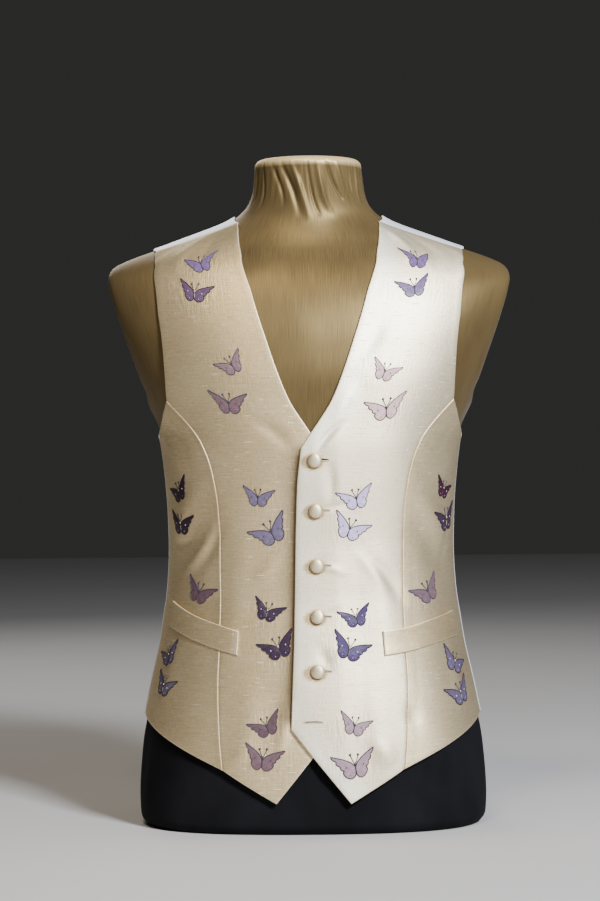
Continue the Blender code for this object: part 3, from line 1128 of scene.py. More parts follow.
@dataclass(frozen=True)
class Floss:
    """Lustrous stitched thread, laid in one direction of its UV map."""

    thread: Thread
    pitch: float = 1900
    roughness: float = 0.38

    def dress(self) -> bpy.types.Material:
        """Writes the material.

        Returns:
            The material.
        """
        recipe = Recipe("thread_" + self.thread.name.lower())
        place = recipe.grain()
        ground, glint = self.thread.value
        strand = recipe.noise(place, (self.pitch, 110, 1), 1)
        patch = recipe.noise(place, (260, 190, 1), 2)
        mixed = recipe.total((strand, 0.6), (patch, 0.4))
        dark = tuple(0.72 * c for c in ground[:3]) + (1.0,)
        colour = recipe.blend(recipe.span(mixed, 0.34, 0.50), dark, ground)
        recipe.paint(recipe.blend(recipe.span(mixed, 0.54, 0.72), colour, glint))
        recipe.bump(strand, 0.00035, 0.8)
        recipe.gloss(Roughness=self.roughness, Specular_IOR_Level=0.35, Anisotropic=0.5)
        return recipe.material


class Finishes:
    """Every finish, written once and handed out by name."""

    def __init__(self) -> None:
        """Writes the cloths; threads follow as they are asked for."""
        self.silk = SilkDupion().dress()
        self.white = Satin(SatinTone.WHITE).dress()
        self.gold = Satin(SatinTone.GOLD).dress()
        self.black = BlackCloth().dress()
        self.threads: dict[Thread, bpy.types.Material] = {}

    def thread(self, thread: Thread) -> bpy.types.Material:
        """Material of an embroidery thread."""
        if thread not in self.threads:
            self.threads[thread] = Floss(thread).dress()
        return self.threads[thread]


class Side(Enum):
    """How a panel ends at one side."""

    FOLDED = "turned edge"
    RIDGE = "seam whose allowance is pressed under this panel"
    SUNK = "seam that dips under its neighbour"


class Rim(NamedTuple):
    """Finish of one side of a panel, below and above a share of the way up."""

    low: Side
    high: Side
    change: float


@dataclass(frozen=True)
class Cut:
    """Outline of a cut piece: two edges that climb side by side."""

    left: tuple
    right: tuple
    shares: Array
    columns: int
    bow: float = 0.0
    dip: float = 0.0
    fine: tuple = EDGE_ROWS + (0.0040,)
    least_width: float = 0.004
    most_fine: float = 0.45

    @staticmethod
    def rising(table: tuple) -> tuple:
        """Gives each row of an edge table its share of the climb."""
        low = table[0].height
        climb = table[-1].height - low
        return tuple(BackPoint((row.height - low) / climb, *row) for row in table)

    @staticmethod
    def edge(rows: tuple, share: Array) -> tuple[Array, Array]:
        """Turn and height along an edge, sharp at its corners.

        Args:
            rows: The edge's points, with their shares of the way.
            share: Where the edge is read.

        Returns:
            Turns in radians and heights.
        """
        table = np.asarray(rows, float)
        turn = np.zeros_like(share)
        height = np.zeros_like(share)
        last_row = len(table) - 1
        corners = [i for i in range(len(table)) if table[i, 3] or i in (0, last_row)]
        for first, last in zip(corners, corners[1:]):
            part = table[first : last + 1]
            here = (share >= part[0, 0] - 1e-9) & (share <= part[-1, 0] + 1e-9)
            turn[here] = curve(part[:, 0], part[:, 1], share[here])
            height[here] = curve(part[:, 0], part[:, 2], share[here])
        return np.radians(turn), height

    def places(self, figure: Figure) -> tuple[Array, Array]:
        """Grid of turns and heights, close-set along the sides.

        Args:
            figure: The figure that the piece lies on.

        Returns:
            Turns in radians and heights, row by row.
        """
        turn_a, high_a = self.edge(self.left, self.shares)
        turn_b, high_b = self.edge(self.right, self.shares)
        ends = figure.point(turn_b, high_b) - figure.point(turn_a, high_a)
        width = np.maximum(np.linalg.norm(ends, axis=1), self.least_width)[:, None]
        fine = np.array(self.fine)[None, :] / width
        fine = fine * np.minimum(1, self.most_fine / fine[:, -1:])
        inner = self.columns - 2 * len(self.fine)
        share = np.linspace(0, 1, inner + 2)[None, 1:-1]
        middle = fine[:, -1:] + (1 - 2 * fine[:, -1:]) * share
        u = np.concatenate([fine, middle, 1 - fine[:, ::-1]], axis=1)
        v = self.shares[:, None]
        turn = turn_a[:, None] + (turn_b - turn_a)[:, None] * u
        high = high_a[:, None] + (high_b - high_a)[:, None] * u
        arch = 4 * u * (1 - u)
        high = high + self.bow * arch * (1 - v) ** 3 + self.dip * arch * v**3
        return turn, high


def mirror(places: tuple[Array, Array]) -> tuple[Array, Array]:
    """The same grid on the wearer's right side, still facing out."""
    turn, high = places
    return (-math.pi - turn)[:, ::-1], high[:, ::-1]


def shares(knots: tuple, counts: tuple, length: float) -> Array:
    """Shares of the way up, even between knots and close-set at both ends.

    Args:
        knots: Shares that a row must fall on.
        counts: Rows from each knot to the next.
        length: Length of the way, in metres.

    Returns:
        Rising shares from 0 to 1.
    """
    parts = [np.linspace(a, b, n, endpoint=False) for a, b, n in zip(knots, knots[1:], counts)]
    rows = np.append(np.concatenate(parts), knots[-1])
    fine = np.array(EDGE_ROWS) / length
    clear = fine[-1] * 1.3
    inner = rows[(rows > clear) & (rows < 1 - clear)]
    return np.concatenate([fine, inner, 1 - fine[::-1]])


class Band(NamedTuple):
    """Soft band along an edge: how strong, how far in and how wide it is."""

    strength: float
    middle: float
    width: float

    def at(self, away: Array) -> Array:
        """Value of the band at distances from the edge."""
        return self.strength * np.exp(-(((away - self.middle) / self.width) ** 2))


class Pressing(NamedTuple):
    """What a side does to the cloth beside it: relief and painted light, a painted highlight above 0 and
    painted shade below 0.
    """

    relief: Band
    painted_lights: tuple[Band, ...]


# Painted highlights along seam ridges and turned edges, painted shade in sunk seams and beside the ridges
PRESSINGS = {
    Side.RIDGE: Pressing(
        Band(0.00004, 0.0010, 0.0007), (Band(0.42, 0.0006, 0.0005), Band(-0.16, 0.0036, 0.0020))
    ),
    Side.SUNK: Pressing(Band(-0.00030, 0, 0.0018), (Band(-0.26, 0, 0.0014),)),
    Side.FOLDED: Pressing(Band(0.00012, 0.0045, 0.0030), (Band(0.5, 0, 0.0010),)),
}


class Mark(NamedTuple):
    """Where flat work draws the cloth in: turn, height and how far it shows."""

    turn: float
    height: float
    spread: float


@dataclass
class Panel:
    """One cut piece of cloth with its wall, turned edges and seams."""

    node: str
    drape: Drape
    places: tuple[Array, Array]
    wall: float
    sides: tuple[Rim, Rim, Side, Side]
    flat: tuple[float, float]
    area: float
    material: bpy.types.Material
    rests_on: tuple[str, ...] = ("form_torso",)
    lapped: bool = False
    # Painted light on the over front: a painted highlight on the strip along its free edge, and a painted
    # sheen over the whole panel
    pressed: float = 0.9
    painted_sheen: float = 0.0
    base: float = 0.0
    mouth: float = 0.0
    stitched: bool = False
    marks: tuple[Mark, ...] = ()
    dimples: tuple[Mark, ...] = ()
    slot: str = "ivory_silk"
    under: tuple | None = None
    roll: float = 0.0009
    seam_roll: float = 0.0005
    allowance: float = 0.00025
    allowance_ends: tuple[float, float] = (0.011, 0.008)
    # Width of the painted highlight strip along the over front's free edge
    facing: float = 0.024
    # Painted highlight along a welt's stitched front end, beside its stitched groove
    stitch_highlight: Band = Band(1.0, 0.0030, 0.0009)
    stitch_relief: Band = Band(-0.0003, 0.0045, 0.0010)
    shade: float = 0.95
    shade_width: float = 0.0050
    shade_lap: float = 0.004
    shade_foot: tuple[float, float] = (0.112, 0.128)
    shade_head: tuple[float, float] = (0.425, 0.405)
    dimple_depth: float = 0.0006
    # Painted shade round each button, shifted below and to the left
    button_shadow: float = 0.75
    button_shadow_shift: tuple[float, float] = (0.0019, 0.0021)
    button_shadow_ends: tuple[float, float] = (0.0104, 0.0072)

    def distances(self, points: Array) -> tuple[Array, Array, Array, Array]:
        """How far each point is from the left, right, bottom and top side.

        Args:
            points: The panel's grid of places.

        Returns:
            The four grids of distances.
        """

        def away(sheet: Array) -> Array:
            """Distance from the first column, square to it."""
            along = unit(np.gradient(sheet[:, 0], axis=0))
            across = unit(sheet[:, 3] - sheet[:, 0])
            slant = np.linalg.norm(np.cross(along, across), axis=-1)
            return np.linalg.norm(sheet - sheet[:, :1], axis=-1) * slant[:, None]

        turned = np.swapaxes(points, 0, 1)
        left = away(points)
        right = away(points[:, ::-1])[:, ::-1]
        bottom = away(turned).T
        top = away(turned[:, ::-1])[:, ::-1].T
        return left, right, bottom, top

    def finish_side(self, away: Array, side: Side) -> tuple[Array, Array]:
        """Relief and painted light that one side gives the panel.

        Args:
            away: Distances from the side.
            side: How the panel ends there.

        Returns:
            Relief and painted light.
        """
        pressing = PRESSINGS[side]
        relief = pressing.relief.at(away)
        if side is Side.RIDGE:
            relief += self.allowance * smoothstep(away, *self.allowance_ends)
        return relief, sum(band.at(away) for band in pressing.painted_lights)

    def finish_sides(self, away: tuple[Array, ...]) -> tuple[Array, Array, Array]:
        """Finishes all four sides.

        Args:
            away: Distances from the left, right, bottom and top side.

        Returns:
            Relief, painted light and how far the outer face rolls down to its edges.
        """
        up = np.linspace(0, 1, len(away[0]))[:, None]
        relief = np.zeros_like(away[0])
        painted_light = np.zeros_like(relief)
        drop = np.zeros_like(relief)
        for index, distance in enumerate(away):
            rim = self.sides[index]
            kinds = [(rim, 1.0)]
            if isinstance(rim, Rim):
                share = smoothstep(up, rim.change - 0.01, rim.change + 0.01)
                kinds = [(rim.low, 1 - share), (rim.high, share)]
            for side, weight in kinds:
                height, colour = self.finish_side(distance, side)
                relief += height * weight
                painted_light = np.where(np.abs(colour * weight) > np.abs(painted_light), colour * weight, painted_light)
                radius = self.roll if side is Side.FOLDED else self.seam_roll
                fall = np.clip(1 - distance / radius, 0, 1)
                drop = np.maximum(drop, radius * (1 - np.sqrt(1 - fall**2)) * weight)
        return relief, painted_light, drop

    def shaded(self, painted_light: Array) -> Array:
        """Adds the shade beside the edge that laps over the panel, and below its buttons.

        Args:
            painted_light: The painted light so far: above 0 painted highlight, below 0 painted shade.

        Returns:
            The painted light with the painted shade added.
        """
        turn, high = self.places
        if self.under is not None:
            edge_turn, edge_high = Cut.edge(self.under, np.linspace(0, 1, 400))
            beside = (np.interp(high, edge_high, edge_turn) - turn) * FRONT_REACH
            band = smoothstep(high, *self.shade_foot) * smoothstep(high, *self.shade_head)
            shade = np.minimum(1, 1.5 * np.exp(-np.maximum(beside, 0) / self.shade_width)) * band
            painted_light = np.where((shade > 0.05) & (beside > -self.shade_lap), -self.shade * shade, painted_light)
        for mark in self.dimples:
            across = (turn - math.radians(mark.turn)) * FRONT_REACH + self.button_shadow_shift[0]
            away = np.hypot(across, high - mark.height + self.button_shadow_shift[1])
            painted_light = np.minimum(painted_light, -self.button_shadow * smoothstep(away, *self.button_shadow_ends))
        return painted_light

    def surface(self) -> tuple[Array, Array, Array, Array]:
        """Outer face, inner face, painted light and pucker mask of the panel.

        Returns:
            Two grids of places and two of mask values.
        """
        turn, high = self.places
        away = self.distances(self.drape.point(turn, high, self.base + self.wall))
        relief, painted_light, drop = self.finish_sides(away)
        lift = np.full_like(turn, self.base)
        # Painted sheen over the panel, and on the over front a painted highlight along its free edge
        shine = self.painted_sheen + np.zeros_like(turn)
        if self.lapped:
            lift += self.drape.lap(turn, high)
            shine = shine + (self.pressed - self.painted_sheen) * np.exp(-((away[0] / self.facing) ** 4))
        if self.stitched:
            front_end = away[0] if turn[0, 0] > -math.pi / 2 else away[1]
            painted_light = np.maximum(painted_light, self.stitch_highlight.at(front_end))
            relief = relief + self.stitch_relief.at(front_end)
        if self.mouth:
            climb = (high - high.min(axis=0)) / (high.max(axis=0) - high.min(axis=0))
            lift += self.mouth * climb**3
        painted_light = self.shaded(painted_light)
        painted_light = painted_light + shine * (1 - np.abs(painted_light))
        pucker = self.marked(turn, high, self.marks)
        lift -= self.dimple_depth * self.marked(turn, high, self.dimples)
        outer = self.drape.point(turn, high, lift + self.wall + relief - drop)
        inner = self.drape.point(turn, high, lift)
        return outer, inner, painted_light, pucker

    @staticmethod
    def marked(turn: Array, high: Array, marks: tuple[Mark, ...]) -> Array:
        """Mask that is 1 at each mark and fades away from it.

        Args:
            turn: Turns in radians.
            high: Heights in metres.
            marks: The marks.

        Returns:
            The mask's values.
        """
        mask = np.zeros_like(turn)
        for mark in marks:
            away = np.hypot((turn - math.radians(mark.turn)) * SIDE_REACH, high - mark.height)
            mask = np.maximum(mask, np.exp(-((away / mark.spread) ** 2)))
        return mask

    def build(self) -> None:
        outer, inner, painted_light, pucker = self.surface()
        piece = grid(self.node + "_cloth", outer)
        write_uv(piece, self.drape.figure.weave(*self.places).reshape(-1, 2))
        thicken(piece, inner, self.wall)
        # The edge mask carries the painted highlights and painted shade
        write_mask(piece, "edge", painted_light.ravel())
        write_mask(piece, "pucker", pucker.ravel())
        smooth(piece)
        piece.data.materials.append(self.material)
        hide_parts(self.node)
        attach(piece, BODY)
        log.info("%s: %d points", piece.name, len(piece.data.vertices))


class Wing(NamedTuple):
    """How one wing of a butterfly is set: its tip and its lower lobe from the root."""

    tip: tuple[float, float]
    lobe: tuple[float, float]


class WingPoint(NamedTuple):
    """Point of the wing's outline, in shares of its reach."""

    along: float
    across: float


class Pose(Enum):
    """The two ways a butterfly holds its wings."""

    RIGHT_RAISED = 1
    LEFT_RAISED = -1


class Perch(NamedTuple):
    """Where a butterfly is stitched and in which thread."""

    turn: float
    height: float
    size: float
    tilt: float
    pose: Pose
    thread: Thread


# Where the lower lobe reaches on the pattern wing
LOBE = WingPoint(0.12, -0.70)
R, L = Pose.RIGHT_RAISED, Pose.LEFT_RAISED
PERCHES = table_of(
    Perch,
    (-121.4, 0.6157, 0.77, 5, R, Thread.LILAC),
    (-122.2, 0.5838, 0.87, -1, L, Thread.PLUM),
    (-114.3, 0.5050, 0.77, 15, R, Thread.MAUVE),
    (-118.7, 0.4638, 0.90, 8, L, Thread.ROSEWOOD),
    (-111.1, 0.3631, 0.76, 6, L, Thread.LAVENDER),
    (-105.5, 0.3253, 1.00, 17, R, Thread.LAVENDER),
    (-152.8, 0.3694, 0.85, 10, R, Thread.DAMSON),
    (-153.3, 0.3331, 0.90, 7, L, Thread.DAMSON),
    (-139.8, 0.2587, 0.90, -8, L, Thread.HEATHER),
    (-107.5, 0.2392, 0.80, -6, L, Thread.AUBERGINE),
    (-102.3, 0.2003, 0.94, 10, R, Thread.AUBERGINE),
    (-154.8, 0.1880, 0.85, 10, R, Thread.SLATE),
    (-154.1, 0.1553, 0.85, -2, L, Thread.SLATE),
    (-105.3, 0.1171, 0.83, 12.5, R, Thread.HEATHER),
    (-106.6, 0.0820, 0.95, 3, L, Thread.ROSEWOOD),
    (-58.0, 0.6181, 0.75, 4, L, Thread.LILAC),
    (-60.9, 0.5871, 0.87, 0, R, Thread.LILAC),
    (-66.4, 0.4964, 0.76, -5, L, Thread.SHELL),
    (-62.9, 0.4567, 0.97, 2, R, Thread.SHELL),
    (-72.2, 0.3609, 0.87, 0, R, Thread.MIST),
    (-75.2, 0.3286, 0.93, -10, L, Thread.MIST),
    (-26.5, 0.3697, 0.75, -7, L, Thread.MAGENTA),
    (-21.8, 0.3361, 1.00, 0, R, Thread.INDIGO),
    (-38.3, 0.2577, 0.93, 14, R, Thread.ORCHID),
    (-73.2, 0.2321, 0.80, 0, R, Thread.VIOLET),
    (-76.7, 0.1983, 0.97, -9, L, Thread.VIOLET),
    (-28.5, 0.1788, 0.90, -16, L, Thread.PERIWINKLE),
    (-28.2, 0.1454, 0.95, 6, R, Thread.PERIWINKLE),
    (-76.5, 0.1170, 0.80, -4, L, Thread.BLUSH),
    (-76.6, 0.0744, 1.04, -2.5, R, Thread.BLUSH),
)
DARK_THREADS = (
    Thread.PLUM,
    Thread.DAMSON,
    Thread.AUBERGINE,
    Thread.SLATE,
    Thread.MAGENTA,
    Thread.INDIGO,
    Thread.VIOLET,
    Thread.PERIWINKLE,
)


@dataclass
class Butterflies:
    """Stitched butterflies of both fronts, from one pattern held two ways."""

    drape: Drape
    finishes: Finishes
    wall: float = FRONT_WALL
    spread: Wing = Wing((-0.0256, 0.0096), (-0.0058, -0.0112))
    raised: Wing = Wing((0.0182, 0.0212), (0.0086, -0.0082))
    heart: tuple[float, float] = (0.25, -0.15)
    slope_height: float = 0.60
    slope_stretch: float = 1.3
    slope_lean: float = 0.50
    fill: float = 0.00058
    cord: float = 0.00050
    spokes: int = 60
    outline: tuple[WingPoint, ...] = table_of(
        WingPoint,
        (0.00, 0.00),
        (0.09, 0.10),
        (0.22, 0.16),
        (0.40, 0.165),
        (0.60, 0.135),
        (0.80, 0.08),
        (1.00, 0.02),
        (0.94, -0.06),
        (0.84, -0.11),
        (0.76, -0.11),
        (0.74, -0.23),
        (0.65, -0.29),
        (0.57, -0.28),
        (0.53, -0.39),
        (0.45, -0.43),
        (0.38, -0.41),
        (0.40, -0.53),
        (0.34, -0.64),
        (0.22, -0.71),
        (0.10, -0.70),
        (0.00, -0.61),
        (-0.06, -0.46),
        (-0.07, -0.30),
        (-0.03, -0.12),
    )
    spots: tuple[WingPoint, ...] = (WingPoint(0.34, -0.20), WingPoint(0.12, -0.50))
    spot_radii: tuple[float, float] = (0.00078, 0.00072)
    spot_shares: tuple[float, float] = (1.0, 0.6)
    trunk: tuple = ((0.0009, -0.0080), (-0.0006, 0.0036))
    trunk_radius: float = 0.00062
    head: Wing = Wing((-0.0008, 0.0036), (0, -0.001))
    head_radius: float = 0.0010
    feelers: tuple = (((-0.0009, 0.0040), (-0.0062, 0.0140)), ((-0.0005, 0.0042), (0.0024, 0.0146)))
    feeler_radius: float = 0.00056
    feeler_bow: float = 0.09
    mark_spread: float = 0.024

    def border(self, share: Array) -> Array:
        """Outline of the pattern wing at shares of the way round it.

        Args:
            share: Shares of the way round.

        Returns:
            Points of the pattern wing.
        """
        table = np.asarray(self.outline, float)
        before, after, beyond = (np.roll(table, -k, axis=0) for k in (-1, 1, 2))
        steps = np.linspace(0, 1, 6, endpoint=False)[:, None, None]
        line = table + steps * (after - before) / 2
        line = line + steps**2 * (before - 2.5 * table + 2 * after - beyond / 2)
        line = line + steps**3 * (1.5 * table - before / 2 - 1.5 * after + beyond / 2)
        line = np.swapaxes(line, 0, 1).reshape(-1, 2)
        line = np.concatenate([line, line[:1]])
        way = np.append(0, np.cumsum(np.linalg.norm(np.diff(line, axis=0), axis=1)))
        at = np.mod(share, 1) * way[-1]
        return np.stack([np.interp(at, way, line[:, 0]), np.interp(at, way, line[:, 1])], -1)

    @staticmethod
    def place(wing: Wing, pattern: Array) -> Array:
        """Moves points of the pattern wing to a wing of the butterfly.

        Args:
            wing: The wing.
            pattern: Points of the pattern wing.

        Returns:
            The points in metres.
        """
        tip = np.array(wing.tip)
        lobe = np.array(wing.lobe)
        return pattern[..., :1] * tip + pattern[..., 1:] * (LOBE.along * tip - lobe) / -LOBE.across

    def flipped(self, wing: Wing) -> bool:
        """Whether a wing is laid over to the other side."""
        corner = self.place(wing, np.array([[1.0, 0.0], [0.0, 1.0]]))
        return bool(np.linalg.det(corner) < 0)

    def settle(
        self, piece: bpy.types.Object, points: Array, uv: Array, kind: str, flip: bool = False
    ) -> bpy.types.Object:
        """Puts a part's points, grain and stand-in material where they belong.

        Args:
            piece: The part.
            points: Places of its vertices.
            uv: Its grain.
            kind: What it is, which later picks its thread.
            flip: Whether its faces look inwards.

        Returns:
            The part.
        """
        write_points(piece, points)
        write_uv(piece, uv)
        if flip:
            piece.data.flip_normals()
        piece.data.materials.append(bpy.data.materials.get(kind) or bpy.data.materials.new(kind))
        return piece

    def add_fill(self, name: str, wing: Wing) -> bpy.types.Object:
        """Satin-stitched field of one wing.

        Args:
            name: The piece's name.
            wing: The wing that it belongs to.

        Returns:
            The field.
        """
        deselect()
        bpy.ops.mesh.primitive_circle_add(vertices=self.spokes, radius=1, fill_type="TRIFAN")
        piece = current(name)
        with edit_mode():
            bpy.ops.mesh.subdivide(number_cuts=3)
        disc = read_points(piece)
        angle = np.mod(np.arctan2(disc[:, 1], disc[:, 0]) + 1e-6, 2 * math.pi)
        sector = 2 * math.pi / self.spokes
        off = np.mod(angle - math.pi / 2, sector) - sector / 2
        share = np.hypot(disc[:, 0], disc[:, 1]) * np.cos(off) / math.cos(sector / 2)
        heart = np.array(self.heart)
        pattern = heart + share[:, None] * (self.border(-angle / (2 * math.pi)) - heart)
        flat = self.place(wing, pattern)
        crown = self.fill * (1 - 0.45 * share**4)
        length = np.linalg.norm(flat, axis=1)
        uv = np.stack([np.arctan2(pattern[:, 1], pattern[:, 0] + 0.25) * 0.012, length], -1)
        return self.settle(piece, np.column_stack([flat, crown]), uv, "wing", self.flipped(wing))

    def add_cord(self, name: str, wing: Wing) -> bpy.types.Object:
        """Cord of dark stitches round one wing.

        Args:
            name: The piece's name.
            wing: The wing that it belongs to.

        Returns:
            The cord.
        """
        deselect()
        bpy.ops.mesh.primitive_torus_add(
            major_segments=96, minor_segments=6, major_radius=1, minor_radius=self.cord
        )
        piece = current(name)
        ring = read_points(piece)
        angle = np.arctan2(ring[:, 1], ring[:, 0])
        across = np.hypot(ring[:, 0], ring[:, 1]) - 1
        way = -angle / (2 * math.pi)
        middle = self.place(wing, self.border(way))
        before, after = (self.place(wing, self.border(way + step)) for step in (0.006, -0.006))
        ahead = unit(after - before)
        side = np.stack([ahead[:, 1], -ahead[:, 0]], -1)
        if self.flipped(wing):
            side = -side
        flat = middle + side * across[:, None] * 1.25
        uv = np.stack([angle * 0.02, across], -1)
        points = np.column_stack([flat, ring[:, 2] * 1.1 + self.cord * 0.5])
        return self.settle(piece, points, uv, "cord", self.flipped(wing))

    def add_spot(self, name: str, wing: Wing, centre: WingPoint, radius: float) -> bpy.types.Object:
        """Small knot of stitches on a wing.

        Args:
            name: The piece's name.
            wing: The wing that it belongs to.
            centre: Its middle on the pattern wing.
            radius: Its radius.

        Returns:
            The knot.
        """
        deselect()
        bpy.ops.mesh.primitive_uv_sphere_add(segments=10, ring_count=6, radius=radius)
        piece = current(name)
        ball = read_points(piece)
        middle = self.place(wing, np.array([centre]))[0]
        points = ball * (1, 1.25, 0.45) + (*middle, self.fill)
        return self.settle(piece, points, ball[:, :2], "spot")

    def add_body(self, name: str, start: tuple, end: tuple, radius: float, kind: str) -> bpy.types.Object:
        """Slim padded body or feeler, laid from one end to the other.

        Args:
            name: The piece's name.
            start: One end, right and up.
            end: The other end.
            radius: Its half width.
            kind: Body or feeler.

        Returns:
            The rod.
        """
        deselect()
        bpy.ops.mesh.primitive_cylinder_add(vertices=6, radius=1, depth=1, end_fill_type="TRIFAN")
        piece = current(name)
        with edit_mode():
            for cut in range(-4, 5):
                bpy.ops.mesh.select_all(action="SELECT")
                bpy.ops.mesh.bisect(plane_co=(0, 0, cut / 10), plane_no=(0, 0, 1))
        rod = read_points(piece)
        run = np.array(end) - np.array(start)
        length = float(np.linalg.norm(run))
        ahead = run / length
        side = np.array([ahead[1], -ahead[0]])
        share = rod[:, 2] + 0.5
        if kind == "body":
            width = radius * np.sqrt(np.clip(1 - (2 * share - 1) ** 4, 0.02, 1))
            bow = 0.0
        else:
            width = radius * (0.9 + 2.1 * np.exp(-(((share - 0.93) / 0.10) ** 2)))
            bow = self.feeler_bow * length * math.copysign(1, run[0])
        bend = bow * (share * (1 - share)) * 2
        middle = np.array(start) + share[:, None] * run + side * bend[:, None]
        flat = middle + side * (rod[:, 0] * width)[:, None]
        points = np.column_stack([flat, rod[:, 1] * width * 0.8 + radius * 0.3])
        return self.settle(piece, points, np.stack([rod[:, 0] * width, share * length], -1), kind)

    def pattern(self) -> bpy.types.Mesh:
        """Models the flat butterfly once, its right wing raised.

        Returns:
            The pattern's mesh.
        """
        parts = []
        wings = (("spread", self.spread), ("raised", self.raised))
        for (label, wing), radius in zip(wings, self.spot_radii):
            parts.append(self.add_fill(label + "_fill", wing))
            parts.append(self.add_cord(label + "_cord", wing))
            for number, (place, share) in enumerate(zip(self.spots, self.spot_shares), 1):
                parts.append(self.add_spot(f"{label}_spot_{number}", wing, place, radius * share))
        parts.append(self.add_body("body", *self.trunk, self.trunk_radius, "body"))
        parts.append(self.add_spot("head", self.head, WingPoint(1, 0), self.head_radius))
        parts[-1].data.materials[0] = bpy.data.materials["body"]
        for number, ends in enumerate(self.feelers, 1):
            parts.append(self.add_body(f"feeler_{number}", *ends, self.feeler_radius, "feeler"))
        return take_mesh(join(parts))

    def palette(self, thread: Thread) -> dict[str, bpy.types.Material]:
        """Threads of one butterfly, by the part that they stitch.

        Args:
            thread: The wings' thread.

        Returns:
            A material for each kind of part.
        """
        dark = thread in DARK_THREADS
        outline = Thread.NIGHT if dark else Thread.DUSK
        return {
            "wing": self.finishes.thread(thread),
            "cord": self.finishes.thread(outline),
            "spot": self.finishes.thread(Thread.MIST if dark else Thread.DUSK),
            "body": self.finishes.thread(Thread.CREAM if dark else Thread.DUSK),
            "feeler": self.finishes.thread(Thread.DUSK),
        }

    def build(self) -> None:
        """Stitches a copy of the pattern at each perch."""
        pattern = self.pattern()
        kinds = [material.name for material in pattern.materials]
        for number, perch in enumerate(PERCHES, 1):
            piece = copy_of(pattern, f"butterfly_{number:02d}")
            flat = read_points(piece) * (perch.size, perch.size, 1)
            if perch.height > self.slope_height:
                flat[:, 1] *= self.slope_stretch
            if perch.pose is Pose.LEFT_RAISED:
                flat[:, 0] *= -1
                piece.data.flip_normals()
            if perch.height > self.slope_height:
                flat[:, 0] += math.copysign(self.slope_lean, perch.turn + 90) * flat[:, 1]
            spot = Spot(self.drape, perch.turn, perch.height, self.wall, perch.tilt, perch.turn > -90)
            write_points(piece, spot.lay(flat))
            palette = self.palette(perch.thread)
            for index, kind in enumerate(kinds):
                piece.data.materials[index] = palette[kind]
            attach(piece, BODY)
        for kind in kinds:
            bpy.data.materials.remove(bpy.data.materials[kind])
        log.info("butterflies: %d", len(PERCHES))

    def marks(self, over: bool) -> tuple[Mark, ...]:
        """Where the stitching draws one of the fronts in."""
        mine = [perch for perch in PERCHES if (perch.turn > -90) == over]
        return tuple(Mark(perch.turn, perch.height, self.mark_spread * perch.size) for perch in mine)


class ButtonPlace(NamedTuple):
    """Place of a button and how far its face leans down and to the side, in degrees."""

    turn: float
    height: float
    nod: float
    sway: float


